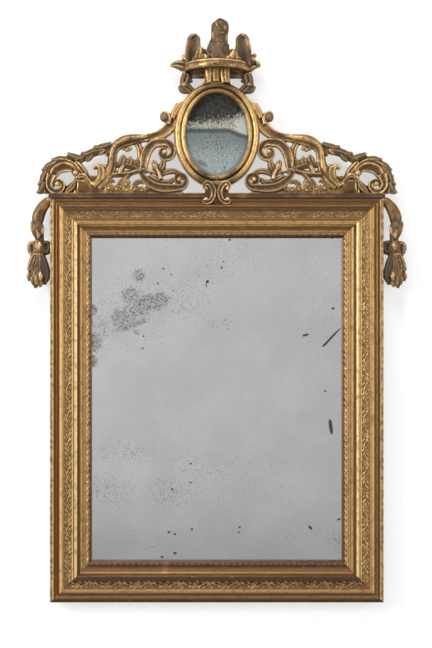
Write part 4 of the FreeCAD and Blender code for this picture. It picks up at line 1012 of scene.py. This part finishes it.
rose_tree, rose_inputs, given = new_tree("rose", {
    "Petal": "Object", "Petals": "Int", "Radius": "Float", "Place": "Vector", "Turn": "Vector", "Finish": "Material"})
ring = tree_node(rose_tree, "GeometryNodeMeshCircle", {}, {"Vertices": given["Petals"], "Radius": given["Radius"]})
spoke = tree_node(rose_tree, "GeometryNodeInputPosition", {}, {})
facing = tree_node(rose_tree, "FunctionNodeAlignRotationToVector", {"axis": "X"}, {"Vector": spoke.outputs[0]})
petal = tree_node(rose_tree, "GeometryNodeObjectInfo", {}, {"Object": given["Petal"]})
set_out = tree_node(rose_tree, "GeometryNodeInstanceOnPoints", {},
                    {"Points": ring.outputs[0], "Instance": petal.outputs["Geometry"], "Rotation": facing.outputs[0]})
close_tree(rose_tree, given, set_out)
roses = [(110.6, 189.4, 4.4, 0.3), (118.4, 190.2, 4.2, 0.1), (127.6, 185.4, 4.4, 0.2), (128.6, 191.2, 3.8, 0.1),
         (136.6, 190.6, 4.4, 0.0), (143.4, 191.4, 3.4, 0.3)]
spray_leaves = [[(108, 190, 4), (109.4, 184.6, 5.6), (113.4, 181.2, 4.4), (116.4, 183.4, 2)],
                [(120.6, 190, 4), (121.6, 184, 5.6), (126, 180.6, 4.6), (130.4, 182.4, 3), (131.6, 185, 2)],
                [(134.4, 190, 4), (137, 184.6, 5.6), (141.4, 182.4, 4.6), (145.4, 184.6, 2)],
                [(105.6, 192.6, 5), (122, 193, 5), (146, 193, 4)], [(146, 192, 4), (150, 188.4, 5), (154, 188.6, 1.6)]]
rose_lift = 3 * mm
rose_eye_lift = 4.5 * mm


def petal_shape():
    """One cupped petal, closed all round, that reaches out along X."""
    ball = bmesh.new()
    bmesh.ops.create_icosphere(ball, subdivisions=2, radius=1)
    for spot in ball.verts:
        x, y, z = spot.co
        spot.co = (x * 5.0 * mm, y * 4.4 * mm, (z * 1.8 + 2.6 * (x * x + y * y)) * mm)
    mesh = bpy.data.meshes.new("petal")
    ball.to_mesh(mesh)
    ball.free()
    return mesh


petal_pattern = pattern(petal_shape())
rose_parts = []
for turn, (column, row, radius, tone) in enumerate(roses):
    x, z = crest_place(column, row)
    mesh = grown("rose", rose_tree, rose_inputs,
                 {"Petal": petal_pattern, "Petals": 5, "Radius": 0.70 * radius * crest_wide,
                  "Place": (x, -crest_front - rose_lift, z), "Turn": (quarter, 0.7 * turn, 0),
                  "Finish": crest_gilding})
    rose_parts.append((mesh_arrays(mesh)[0], [tuple(face.vertices) for face in mesh.polygons], tone))
    rose_parts.append(knob(column, row, 1.4, crest_front + rose_eye_lift, 0.5))
bpy.data.objects.remove(petal_pattern)
rose_parts += [carving(places, veined, 0.36, 1, 0.75, crest_front - 2 * mm) for places in spray_leaves]
settle_pair("roses", carved("flowers_left", rose_parts, 1.0 * mm, 0.1 * mm), crest_gilding, "flowers")

# Oval frame
# A ring of moulding round the small plate: a bright bead at the sight edge, a thin cut and a broad outer roll.
# It is carved in one ring of wood and gilt, brown at its head and foot, and leaf curls grip its shoulders.

oval_height = 623 * mm
oval_half = (73.5 * mm, 97 * mm)
ring_section = [(6, 28), (6, 14), (27.5, 14), (27.5, 35), (27.2, 37), (26.2, 38.6), (25.6, 41), (24.0, 44.4),
                (21.4, 46.6), (18.6, 47.4), (15.8, 46.8), (13.6, 45.0), (12.4, 42.6), (11.8, 41.2), (11.1, 41.2),
                (10.4, 43.6), (8.8, 46.2), (6.6, 47.6), (4.2, 47.2), (2.2, 45.6), (0.8, 43), (0, 40), (0, 36), (0, 32),
                (0, 28)]
ring_rim = (85 * mm, 108.5 * mm)
ring_gold = srgb(168, 130, 78)
ring_head = srgb(84, 56, 32)
ring_foot = srgb(78, 52, 30)
bead_lit = srgb(196, 162, 108)
bead_shaded = srgb(58, 42, 25)
bead_head = srgb(138, 92, 52)
bead_foot = srgb(70, 47, 27)


def oval_ring():
    """The section carried round the oval; its front wavers a little, as the carver's hand did."""
    rings = []
    back = crest_back / mm
    for turn in np.linspace(0, 2 * math.pi, 240, endpoint=False):
        edge = np.array([oval_half[0] * math.cos(turn), oval_half[1] * math.sin(turn)])
        out = np.array([math.cos(turn) / oval_half[0], math.sin(turn) / oval_half[1]])
        out /= np.linalg.norm(out)
        hand = 1 + 0.012 * math.sin(5 * turn + 1) + 0.010 * math.sin(11 * turn)
        rings.append([(edge[0] + out[0] * reach * mm, -(back + (depth - back) * (hand if depth > 30 else 1)) * mm,
                       oval_height + edge[1] + out[1] * reach * mm) for reach, depth in ring_section])
    return closed_tube(np.array(rings), True)


def ring_colour(finish, place):
    """Brown at the top and foot of the ring and gold at its sides; the inner bead is painted lit at the left and
    painted shaded at the right.
    """
    across, depth, height = finish.axes(place)
    patch = (finish.noise(place, 34, 4) - 0.5) * 0.7
    wide = across * (1 / ring_rim[0])
    tall = (height - oval_height) * (1 / ring_rim[1])
    sides = finish.rise(abs(wide) + patch, 0.38, 0.98)
    upper = finish.rise(tall, -0.3, 0.3)
    roll = finish.mix(sides, finish.mix(upper, ring_foot, ring_head), ring_gold)
    bead_side = finish.mix(finish.rise(wide + patch, -0.5, 0.4), bead_lit, bead_shaded)
    bead = finish.mix(sides, finish.mix(upper, bead_foot, bead_head), bead_side)
    return finish.mix(finish.rise(wide * wide + tall * tall, 0.97, 1.05), bead, roll)


def ring_level(finish, place):
    """Fewer bright ridges at the top and foot of the ring."""
    across, depth, height = finish.axes(place)
    return carved_level(finish, place) - (1 - finish.rise(abs(across), 30 * mm, 80 * mm)) * 0.62


oval_gilding = gilded("oval_gilding", ring_level, gilt_back, ring_colour)
oval_mesh = mesh_of("oval_ring", oval_ring())
mark_levels(oval_mesh, 0.35 * mm, 2.4 * mm)
settle("oval_ring", oval_mesh, oval_gilding, ["oval_frame"])
ring_leaves = [carving(places, veined, 0.34, 7, 0.3, crest_front - 4 * mm)
               for places in ([(174.4, 119, 4), (176.4, 113, 5.4), (180, 107.4, 5), (185, 102, 1.6)],
                              [(178.4, 116, 3), (180.2, 111, 4), (183.6, 107, 1.6)])]
settle_pair("ring_leaves", carved("ring_leaves_left", ring_leaves, 1.1 * mm), oval_gilding)

# Oval plate
# A small silvered plate, almost black at the top, flaking through a speckled edge to a pale band.
# Below a dark line the silver is blue-grey and peppered with spots.

upper_silver = srgb(126, 134, 132)
lower_silver = srgb(166, 176, 176)
silver_fleck = srgb(92, 100, 98)
band_pale = srgb(202, 198, 180)
band_fleck = srgb(70, 72, 66)
band_plain = srgb(190, 190, 180)
seam_grey = srgb(70, 78, 76)
foot_cream = srgb(190, 184, 162)
spot_grey = srgb(48, 54, 53)
plate_black = srgb(14, 15, 14)
worn_black = srgb(66, 68, 64)
small = material("oval_plate_silvering")
place = small.node("ShaderNodeTexCoord", None, None, "Object")
across, depth, height = small.axes(place)
rag = small.noise(place, 150, 6, 0.75)
fleck = small.noise(place, 420, 4, 0.7)
column = across * (1 / crest_wide) + crest_middle
row = (height - frame_top) * (-1 / crest_high) + crest_foot
torn = (rag - 0.5) * 30 + (fleck - 0.5) * 44
black_row = 123.0 - (column - 190) * 0.13
blackness = 1 - small.rise(row + torn, black_row - 1, black_row + 1)
blackness = blackness.most(1 - small.rise(row + torn * 0.35, black_row - 7, black_row - 5))
seam_row = 129.4 + small.rise(column, 226, 252) * 7 + (rag - 0.5) * 5
below = small.rise(row, seam_row - 1, seam_row + 1)
seam = 1 - small.rise(abs(row - seam_row - 1.2), 0.6, 3.8)
grains = small.node("ShaderNodeTexVoronoi", None, {"Vector": place, "Scale": 165.0, "Randomness": 1.0})
cluster = small.noise(place, 26, 3)
dots = 1 - small.rise(grains + small.rise(cluster, 0.62, 0.34) * 0.30, 0.20, 0.34)
silver = small.mix(small.rise(row + (cluster - 0.5) * 24, 134, 168), upper_silver, lower_silver)
silver = small.mix(small.rise(fleck, 0.50, 0.62) * 0.75, silver, silver_fleck)
band = small.mix(small.rise(fleck, 0.47, 0.56) * 0.85, band_pale, band_fleck)
plain = small.rise(column + (rag - 0.5) * 8, 236, 239)
band = small.mix(plain, band, band_plain)
colour = small.mix(below, band, silver)
colour = small.mix((seam * (0.1 + rag * 1.4)).least(1), colour, seam_grey)
foot = small.rise(row + (rag - 0.5) * 6, 170, 174)
colour = small.mix(foot * 0.6, colour, foot_cream)
smudge = small.rise(blot(across, height, 202.6, 163.5, 8, 3.6, -32) + (fleck - 0.5) * 1.6, 0.2, 0.9) * 0.65
dull_rim = small.rise(blot(across, height, middle_column, 133.4, 31, 41) + (rag - 0.5) * 0.2, 0.16, 0.02) * 0.5
spots = (dots * below).most(smudge).most(dull_rim)
colour = small.mix(spots * 0.85, colour, spot_grey)
colour = small.mix(blackness, colour, small.mix(small.rise(rag, 0.3, 0.7), plate_black, worn_black))
sound = (1 - blackness) * (1 - spots * 0.8)
small.surface({"Base Color": colour, "Metallic": sound * 0.9, "Roughness": 0.14 + (1 - sound) * 0.3 + fleck * 0.1,
               "Specular IOR Level": 0.15})
dress(small.owner, "oval_plate")

# Clasp
# Two C-scrolls set back to back, with a hatched wedge between, tie the oval to the top of the frame.
# They are carved in one piece of wood, gilt like the crest and glued over the plinth.

clasp_back = 30 * mm
clasp_front = 46 * mm
clasp_scroll = [(207.6, 190.4, 3), (206, 187, 3.8), (208.8, 184.2, 4.4), (213, 186.6, 5), (215.4, 192, 5.4),
                (214.6, 198.4, 5), (211, 203, 4.6), (206.8, 203.4, 4), (206.2, 200.2, 3.2)]
clasp_parts = [carving([(218.5, 180, 9), (218.5, 186, 7), (218.5, 192, 5), (218.5, 201, 6.5)], keeled, 0.34, 6, 0.7,
                       clasp_back)]
for points, faces, tone in (cut(clasp_scroll, gouged, 0.34, clasp_back, clasp_front),
                            knob(207.8, 189.8, 2.2, clasp_front), knob(207.8, 200.6, 2.2, clasp_front)):
    clasp_parts.append((points, faces, tone))
    clasp_parts.append((points * (-1, 1, 1), [loop[::-1] for loop in faces], tone))
settle("scroll_clasp", carved("clasp", clasp_parts, 1.2 * mm), crest_gilding, ["clasp"])

# Coronet
# A half-round circlet of two ribs over a deep hollow, red inside, that a fluted post carries above the oval.
# Crumpled leaves stand on its rim and at its ends, and two curled leaves prop its shoulders.

circlet = [(0, 776), (0, 785), (64, 785), (66, 790.6), (74, 791.4), (77.0, 790.6), (78.2, 788.4), (77.6, 786.4),
           (76.6, 785.4), (78.0, 784.0), (78.9, 780.8), (78.9, 777.2), (77.8, 773.6), (74.4, 771.4), (68, 771),
           (66, 774)]
drum = [(0, 757.5), (0, 777), (73, 777), (71, 771), (67, 768), (66.4, 763), (68.4, 759.6), (67.4, 757.5)]


def half_round(section, tone, deep=1.0):
    """A section of radius and height carried half round the coronet's axis, flattened front to back by a share."""
    rings = [[(radius * math.cos(turn) * mm, -crest_back - radius * deep * math.sin(turn) * mm, height * mm)
              for radius, height in section] for turn in np.linspace(0, math.pi, 72)]
    return *closed_tube(np.array(rings)), tone


def carried_round(angle, part):
    """A part made on the centre line, carried round the circlet to an angle."""
    cosine, sine = math.cos(math.radians(angle)), math.sin(math.radians(angle))
    points = part[0].copy()
    points[:, 0] = part[0][:, 0] * cosine - (part[0][:, 1] + crest_back) * sine
    points[:, 1] = part[0][:, 0] * sine + (part[0][:, 1] + crest_back) * cosine - crest_back
    return points, part[1], part[2]


rim_row = 67
rim_back = 70 * mm
rim_front = 80 * mm


def rim_leaf(height, half):
    """A crumpled leaf on the rim, with a lobe at each side of its foot."""
    leaf = [(crest_middle + lean, rim_row - height * up, half * wide)
            for lean, up, wide in ((0, 0, 2.2), (-0.4, 0.45, 1.7), (0.2, 0.8, 0.9), (-0.2, 1, 0.3))]
    lobes = [[(crest_middle + 2 * side, rim_row, half),
              (crest_middle + 0.9 * side * half, rim_row - height * bend, 0.7 * half),
              (crest_middle + 1.25 * side * half, rim_row - height * end, 0.3 * half)]
             for side, bend, end in ((-1, 0.36, 0.20), (1, 0.40, 0.26))]
    return [cut(places, veined, 0.22, rim_back, rim_front) for places in [leaf] + lobes]


coronet_parts = [half_round(circlet, 0.2), half_round(drum, 0.8, 0.55)]
for angle, height, half in ((-38, 17, 6.8), (6, 5, 3.0), (38, 15, 6.8)):
    coronet_parts += [carried_round(angle, part) for part in rim_leaf(height, half)]
coronet_parts += [
    carving([(190, 67, 12), (182, 64.4, 10.5), (176, 64, 6.5), (171.4, 64.8, 2)], veined, 0.34, -9, 0.6),
    carving([(190, 60, 8), (186, 56.6, 6), (183.4, 55, 2)], veined, 0.36, -6, 0.4),
    carving([(188, 73, 9), (186.4, 76.4, 6), (189, 79.4, 3)], veined, 0.36, -4, 0.2),
    carving([(248, 67, 12), (255, 64.6, 9.5), (259, 64.4, 6), (262.6, 65, 2.4)], veined, 0.34, -9, 0.5),
    carving([(248, 62, 7), (252.6, 57.4, 6), (254.6, 55.4, 4)], veined, 0.36, -6, 0.2),
    knob(256.4, 55.4, 2.2, 28 * mm, 0.8), knob(254.8, 59.6, 2.8, 31 * mm), knob(259.6, 63.0, 2.4, 29 * mm, 0.3),
    carving([(249.6, 73, 9), (250.6, 76.4, 6), (248, 79.4, 3)], veined, 0.36, -4, 0.2)]


def coronet_level(finish, place):
    """Painted shadow under the circlet beside the post: the level is pushed down there, so the hollows' dark red is
    painted over it.
    """
    across, depth, height = finish.axes(place)
    under = 1 - finish.rise(height, 770.0 * mm, 772.4 * mm)
    near_post = 1 - finish.rise(abs(across), 34 * mm, 58 * mm)
    return carved_level(finish, place) - under * near_post * 1.1


# The dark red that the coronet's hollows take as dirt and painted shade, with painted shadow under the circlet by the
# post.
coronet_red_shade = srgb(64, 30, 18)
coronet_gilding = gilded("coronet_gilding", coronet_level, gilt_back, None, coronet_red_shade)
bird_gilding = gilded("bird_gilding", carved_level, gilt_back, None, dirt_and_shade_brown, 0.6)
settle("circlet", carved("coronet", coronet_parts, 1.4 * mm), coronet_gilding, ["coronet"])

post_core = 50 * mm
flute_back = 22 * mm
flute_front = 53 * mm
post_parts = [slab([(204.4, 85), (206, 81.6), (206.4, 70), (230.6, 70), (231, 81.6), (232.6, 85)],
                   crest_back, post_core, 0.4)]
post_flutes = [([(211, 84.4, 4), (210.4, 79, 6.2), (210, 74, 7.2), (209.8, 69.5, 7.4)], -0.1),
               ([(217.8, 83.4, 7), (217.6, 76, 7.4), (217.6, 69.5, 7.8)], 0.45),
               ([(225.2, 84.4, 3.2), (224.1, 79, 3.2), (223.6, 74, 3), (223.5, 69.5, 3)], -0.2),
               ([(228.8, 84.4, 4), (228.8, 79, 5.6), (228.5, 74, 6), (228.4, 69.5, 6)], -0.1)]
post_parts += [cut(places, rounded, 0.34, flute_back, flute_front, tone) for places, tone in post_flutes]
settle("fluted_post", carved("coronet_post", post_parts, 1.3 * mm), crest_gilding, ["coronet_post"])

shoulder_parts = [
    carving([(197, 93.4, 6), (191, 89.6, 8.4), (186.6, 84.6, 9.4), (187, 79, 10), (188.6, 74.6, 9)],
            veined, 0.34, 0, 0.5),
    carving([(189, 91, 5), (183.4, 90, 5), (180.2, 86.4, 3)], veined, 0.4, 0, 0.85),
    knob(185.8, 85.4, 3.0, 36 * mm, 0.1),
    carving([(188, 80, 6), (191.4, 79.8, 5), (194, 81.4, 2)], veined, 0.4, -2, 0.85)]
settle_pair("shoulder_curl", carved("shoulder_leaf_left", shoulder_parts, 1.2 * mm), bird_gilding, "shoulder_leaf")

# Eagle
# A carved bird stands in the coronet with its wings raised: a smooth hooded head bent down over its beak,
# a ruff of feathers on the breast, and thick round-topped wings hollowed in front.


def limb(line, depth, flat, tone):
    """A round length along rows of x, z and width, flattened front to back by a share."""
    across = sideways(line[:, :2])
    rings = np.zeros((len(line), 20, 3))
    for index, angle in enumerate(np.linspace(0, 2 * math.pi, 20, endpoint=False)):
        reach = line[:, 2] / 2 * math.cos(angle)
        rings[:, index, 0] = line[:, 0] + across[:, 0] * reach
        rings[:, index, 1] = -depth - line[:, 2] / 2 * flat * math.sin(angle)
        rings[:, index, 2] = line[:, 1] + across[:, 1] * reach
    return *closed_tube(rings), tone


eagle_depth = 52 * mm
eagle_flat = 0.84
bird_aside = 3 * mm
bird = [(218.5, 66, 24), (218.6, 58, 25), (218.6, 51, 22.5), (219.2, 45.5, 18.6), (219.8, 40, 16.8), (220, 35.4, 17.0),
        (220.3, 32, 17.8), (220.5, 29, 17.9), (220.6, 26.6, 17), (220.6, 24.7, 15), (220.5, 23.3, 12.2),
        (220.4, 22.3, 8.6), (220.3, 21.6, 4)]
# the beak, the cheek, the brow, the fold under the beak and a lock at each side of the neck; the beak's low tone paints
# a highlight down the face
head_limbs = [([(216.4, 26, 1.6), (217.4, 28.6, 2.6), (218.8, 31.6, 2.4), (219.8, 34, 1.2)], 17.6, -0.4),
              ([(222.4, 28, 2), (224.6, 31, 4.4), (224.6, 34.6, 2.4)], 13.4, 0.0),
              ([(217, 24.6, 3), (220.6, 23.4, 5), (224, 25, 3)], 9.6, 1.3),
              ([(219, 34.6, 2), (221.6, 36.4, 3), (225, 36.4, 2)], 15.6, 0.6),
              ([(213.6, 35, 2), (214.4, 40, 3.8), (215.2, 45, 2.4)], 12.2, -0.3),
              ([(226.2, 37, 1.6), (226.4, 42, 3), (225.6, 46.5, 1.6)], 11.2, 0.25)]
eagle_parts = [limb(crest_line(bird[:7]), eagle_depth, eagle_flat, 1.0),
               limb(crest_line(bird[5:]), eagle_depth, eagle_flat, 0.55)]
eagle_parts += [limb(crest_line(places), eagle_depth + lift * mm, 0.8, tone) for places, lift, tone in head_limbs]
rng = np.random.default_rng(7)
feather_root = 4 * mm
for row_index, (row, half) in enumerate([(45.4, 8.6), (48.8, 9.6), (52.2, 10.6), (55.6, 11.4), (59, 12)]):
    for spot in range(7):
        share = (spot + 0.5 * (row_index % 2)) / 6 * 2 - 1.08
        angle = share * 1.2
        lean = rng.uniform(-1, 1, 3)
        column = 218.8 + half * math.sin(angle) * 0.96 + 0.6 * lean[2]
        depth = eagle_depth + half * crest_wide * eagle_flat * math.cos(angle) * 0.95
        feather = [(column, row - 2.4, 2.4), (column + 0.5 * lean[0], row + 0.6, 3.8),
                   (column + 1.1 * lean[0], row + 3 + 0.7 * lean[1], 1.4)]
        eagle_parts.append(cut(feather, veined, 0.42, depth - feather_root, depth, 0.75 + 0.6 * lean[2]))
aside = Matrix.Translation((bird_aside, 0, 0))
bird_mesh = carved("eagle", eagle_parts, 1.2 * mm)
bird_mesh.transform(aside)
settle("bird", bird_mesh, bird_gilding, ["eagle"])

wing_depth = 42 * mm
wing_thick = 12 * mm
wing_root = 11 * mm
wing_line = [(195, 66, 20), (194.4, 60, 19), (193.8, 54, 16.8), (193.7, 48.4, 14.8), (193.9, 44, 14),
             (194.1, 41.2, 13.8), (194.3, 39.4, 13.2), (194.4, 37.6, 11.6), (194.5, 36.1, 9),
             (194.6, 35, 5.6), (194.6, 34.5, 2)]
wing_face = [(-1, -0.25), (-0.94, 0.10), (-0.82, 0.26), (-0.66, 0.27), (-0.45, 0.16), (-0.15, 0.03), (0.2, 0),
             (0.5, 0.06), (0.75, 0.18), (0.92, 0.10), (1, -0.25)]
# the two rims, the hollow between them, two quills and the feathers at the wing's root; the rims' low tones paint
# highlights, and the high tones of the hollow and the root paint shade
wing_strokes = [([(185.8, 61, 3), (187.2, 50, 3.4), (188.8, 42.4, 3.2), (191.4, 38, 2.8), (195, 36.2, 2)],
                 1.6, 0.4, -0.3),
                ([(199.6, 58, 2.4), (199.8, 48, 2.8), (199.2, 41, 2)], 1.0, 0.4, 0.3),
                ([(194.6, 64, 12), (194, 56, 11), (193.8, 50, 9), (194, 45, 6), (194.4, 41, 3)], -0.6, 0.04, 1.3),
                ([(198, 56, 2.4), (197.4, 49, 2.6), (196.6, 43, 2)], -0.8, 0.3, 0.1),
                ([(194, 52, 2), (193, 46, 3), (193.4, 40.6, 2)], -1.2, 0.3, 0.4),
                ([(205.4, 66, 11), (204.8, 58, 9.4), (204.2, 52, 6.6), (204, 49.4, 3)], -6.0, 0.3, 1.25)]
wing_parts = [cut(wing_line, wing_face, 0.46, wing_depth - wing_thick, wing_depth, 0.95)]
wing_parts += [cut(places, rounded, rise, wing_depth - wing_root, wing_depth + lift * mm, tone)
               for places, lift, rise, tone in wing_strokes]
wing_left = carved("eagle_wing_left", wing_parts, 1.2 * mm)
wing_right = mirrored(wing_left, "eagle_wing_right")
for wing in (wing_left, wing_right):
    wing.transform(aside)
settle("wing_left", wing_left, bird_gilding, ["eagle_wing_left"])
settle("wing_right", wing_right, bird_gilding, ["eagle_wing_right"])

# Pendants
# From each upper corner hangs a curved arm with a slanting cut cuff, a tied bow and a tassel of leaves and petals,
# carved in the round and pegged to the edge of the frame.

pendant_depth = 24 * mm


def hanging(places, spacing=0.6):
    """Places out from and down from the frame's upper left corner, with widths, as rows of x, z and width."""
    rows = line_through(places, spacing)
    return np.stack([-frame_side - rows[:, 0] * crest_wide, frame_top - rows[:, 1] * crest_high,
                     rows[:, 2] * crest_wide], axis=1)


# The last number in each row here and in the bows, leaves and petals below is a tone: tones above 1 on the strokes
# towards the frame paint shade on that side of the pendant.
# the arm, its cuff and the folds of the cuff, the knot of the bow and the body of the tassel
pendant_limbs = [
    ([(0.5, 3.2, 8), (4, 5.6, 10), (8.6, 11, 11.6), (11.8, 17.6, 12.6), (12.8, 22, 12.6), (13, 25.4, 11)],
     0, 0.75, 0.3),
    ([(13.2, 25, 10), (13.6, 29, 13.4), (13, 34, 13), (11.6, 39.4, 10), (11.0, 44.4, 8.4)], 0, 0.85, 0.55),
    ([(18.8, 24.8, 2), (18.4, 29, 4.4), (16.4, 34.4, 4), (14, 39, 2)], 7, 0.8, 0.0),
    ([(18.6, 24.4, 2), (14.6, 28.6, 3.4), (10.6, 30, 3), (7.8, 29, 2)], 9, 0.7, 1.2),
    ([(7.4, 30.6, 3), (8.4, 35, 4.4), (9.8, 39.6, 3)], 8, 0.8, 0.2),
    ([(13, 33.4, 3), (11.8, 38, 4), (11.4, 42, 3)], 11, 0.8, 0.4),
    ([(14.6, 43, 5), (11.8, 48, 9.6), (11.6, 53, 9.6), (13.6, 58, 6)], 4, 0.85, 0.25),
    ([(10.6, 45, 2), (10.2, 49, 4.4), (11.4, 53.4, 3)], 13, 0.8, 0.0),
    ([(16, 55.4, 2), (18.4, 58.4, 4), (20.6, 57, 2)], 8, 0.8, 0.1),
    ([(12, 56, 9), (12.2, 62, 12), (11.6, 70, 17), (11.6, 78, 20), (12, 84, 17), (12.4, 88, 8)], 0, 0.8, 1.2)]
pendant_parts = [limb(hanging(places), pendant_depth + lift * mm, flat, tone)
                 for places, lift, flat, tone in pendant_limbs]
bow_lift = 1 * mm
for centre, reach, drop, tone in ((18.4, 3.0, 51.6, 0.5), (4.4, 3.2, 51, 1.2)):
    loop = []
    for step in range(9):
        angle = math.radians(step * 45 + 20)
        loop.append((centre + reach * math.cos(angle), drop + 5.0 * math.sin(angle), 5.0))
    pendant_parts.append(limb(hanging(loop), pendant_depth + bow_lift, 1.4, tone))
    pendant_parts.append(knob(crest_middle - frame_side / crest_wide - centre, crest_foot + drop, 3.6, pendant_depth,
                              1.4, (1, 0.8, 1.35)))
leaf_lift = 12 * mm
tassel_leaves = [([(14.6, 57, 5), (17.6, 64, 7), (19.8, 70.4, 6), (21.4, 73.4, 4), (22.6, 71.4, 1.6)], 0.5),
                 ([(13.6, 57, 5), (15, 66, 6), (16.6, 75, 5), (17, 80, 2)], 0.35),
                 ([(11.4, 57, 5), (11.2, 66, 6), (11, 75, 5), (11.2, 79, 2)], 0.45),
                 ([(9, 57, 5), (6.6, 65, 7), (4.2, 74, 7), (3.4, 82, 3)], 1.3),
                 ([(7.6, 60, 5), (4.6, 70, 6), (3.4, 80, 6), (4.6, 86, 3)], 1.3)]
pendant_parts += [(*stroke(hanging(places), veined, pendant_depth, pendant_depth + leaf_lift, 0.36), tone)
                  for places, tone in tassel_leaves]
tassel_petals = [([(20.6, 76, 3), (21.4, 80, 5), (21.2, 85, 2)], 32, 0.7),
                 ([(16.8, 78, 3), (17.4, 83, 5.4), (17, 89, 2.4)], 36, 0.6),
                 ([(13, 77, 3), (13.2, 82, 5.4), (13.4, 88.6, 3)], 39, 0.4),
                 ([(10, 76, 2.4), (8.8, 80, 4.4), (9.4, 84.4, 2)], 42, 0.0),
                 ([(10.4, 80, 3), (9.8, 86, 5.4), (10, 91, 3)], 36, 0.5),
                 ([(6.4, 78, 3), (5.4, 84, 5.4), (5.8, 88.6, 3)], 31, 1.2),
                 ([(14.4, 84, 4), (14.6, 89, 5), (14.8, 92, 3)], 31, 0.8)]
pendant_parts += [limb(hanging(places), depth * mm, 0.7, tone) for places, depth, tone in tassel_petals]
pendant_back = 3 * mm
pendant_gilding = gilded("pendant_gilding", carved_level, pendant_back, None, dirt_and_shade_brown, 0.22)
settle_pair("tassel", carved("pendant_left", pendant_parts, 1.3 * mm), pendant_gilding, "pendant")

# Battens and pegs
# A pine batten and two cleats are let into the back of the top rail and screwed to the crest; hardwood keys and
# pegs lock the joints.

batten_dark = srgb(92, 66, 40)
batten_light = srgb(146, 110, 70)
peg_dark = srgb(84, 58, 34)
peg_light = srgb(128, 94, 58)
dress(old_pine("batten_pine", (1, 1, 0.06), batten_dark, batten_light), "crest_batten", "cleat_left", "cleat_right")
dress(old_pine("peg_hardwood", (1, 1, 0.1), peg_dark, peg_light), "mitre_keys", "crest_dowels", "pendant_dowels")

# Wall, light and camera
# The mirror hangs flat on a white wall over a pale floor, lit softly from both sides and from above.
# A weak lamp stands behind for views of the back, and the camera looks straight on from three metres.

stage_side = 6.0
stage_front = -8.0
wall_top = 5.0
wall_gap = 4 * mm
floor_height = -1.6
wall_white = (0.50, 0.50, 0.50, 1)
floor_pale = (0.46, 0.455, 0.45, 1)


def sight_rays(finish):
    """Which rays are those of the camera, of a reflection and of a view through glass."""
    return [finish.node("ShaderNodeLightPath", None, None, ray)
            for ray in ("Is Camera Ray", "Is Glossy Ray", "Is Transmission Ray")]


def stage_plane(name, corners, colour, glow):
    """A one-sided pale surface that is lit by itself a little and is not there from behind."""
    mesh = bpy.data.meshes.new(name)
    mesh.from_pydata(corners, [], [(0, 1, 2, 3)])
    plane = bpy.data.objects.new(name, mesh)
    bpy.context.scene.collection.objects.link(plane)
    finish = material(name)
    direct, mirrored_ray, through = sight_rays(finish)
    shown = direct.most(mirrored_ray).most(through)
    plain = finish.node("ShaderNodeBsdfDiffuse", None, {"Color": colour})
    shine = finish.node("ShaderNodeEmission", None, {"Color": (1, 1, 1, 1), "Strength": shown * glow})
    lit = finish.node("ShaderNodeAddShader", None, {0: plain, 1: shine})
    behind = finish.node("ShaderNodeNewGeometry", None, None, "Backfacing")
    shadow = finish.node("ShaderNodeLightPath", None, None, "Is Shadow Ray")
    clear = finish.node("ShaderNodeBsdfTransparent", None, None)
    both = finish.node("ShaderNodeMixShader", None, {0: behind.most(shadow), 1: lit, 2: clear})
    finish.node("ShaderNodeOutputMaterial", None, {"Surface": both})
    mesh.materials.append(finish.owner)


stage_plane("wall", [(-stage_side, wall_gap, floor_height), (stage_side, wall_gap, floor_height),
                     (stage_side, wall_gap, wall_top), (-stage_side, wall_gap, wall_top)], wall_white, 0.58)
stage_plane("floor", [(-stage_side, stage_front, floor_height), (stage_side, stage_front, floor_height),
                      (stage_side, wall_gap, floor_height), (-stage_side, wall_gap, floor_height)], floor_pale, 0.42)

world = bpy.data.worlds.new("studio")
bpy.context.scene.world = world
sky = Finish(world)
towards = sky.node("ShaderNodeTexCoord", None, None, "Generated")
right, back, up = sky.axes(towards)
direct, mirrored_ray, through = sight_rays(sky)
tilt = (up.least(0.3) - right.least(0.3).most(-0.3)).most(-0.5)
steep = (up.most(0.35) - 0.35) * 0.25 - ((0 - up).most(0.35) - 0.35) * 1.3
studio = (0.92 + tilt * 0.5 + right * right * 0.20 + steep).most(0.06).least(1.25)
strength = direct.most(through) + mirrored_ray * studio + (1 - direct.most(mirrored_ray).most(through)) * 0.32
glow = sky.node("ShaderNodeBackground", None, {"Color": (1, 1, 1, 1), "Strength": strength})
sky.node("ShaderNodeOutputWorld", None, {"Surface": glow})


def soft_lamp(name, place, aim, size, power):
    lamp = bpy.data.lights.new(name, "AREA")
    lamp.shape = "DISK"
    lamp.size = size
    lamp.energy = power
    holder = bpy.data.objects.new(name, lamp)
    holder.location = place
    holder.rotation_euler = (Vector(aim) - Vector(place)).to_track_quat("-Z", "Y").to_euler()
    bpy.context.scene.collection.objects.link(holder)


light_aim = (0, 0, 0.2)
soft_lamp("key", (-3.0, -2.3, 1.0), light_aim, 1.5, 96)
soft_lamp("fill", (3.0, -2.6, 0.6), light_aim, 2.0, 54)
soft_lamp("behind", (1.0, 2.6, 0.9), light_aim, 1.6, 40)
soft_lamp("top", (-0.4, -1.9, 3.4), light_aim, 1.4, 62)

eye = bpy.data.cameras.new("eye")
eye.sensor_fit = "VERTICAL"
eye.sensor_height = 36
eye_distance = 3.0
measured_depth = 37.5 * mm
picture_rows = 648
eye_aside = -0.8
eye_drop = 0.7
eye.lens = eye.sensor_height * (eye_distance - measured_depth) / (picture_rows * across_pixel)
viewer = bpy.data.objects.new("eye", eye)
viewer.location = (eye_aside * across_pixel, -eye_distance, axis_height - eye_drop * across_pixel)
viewer.rotation_euler = (quarter, 0, 0)
bpy.context.scene.collection.objects.link(viewer)
bpy.context.scene.camera = viewer
bpy.context.scene.view_settings.view_transform = "Standard"
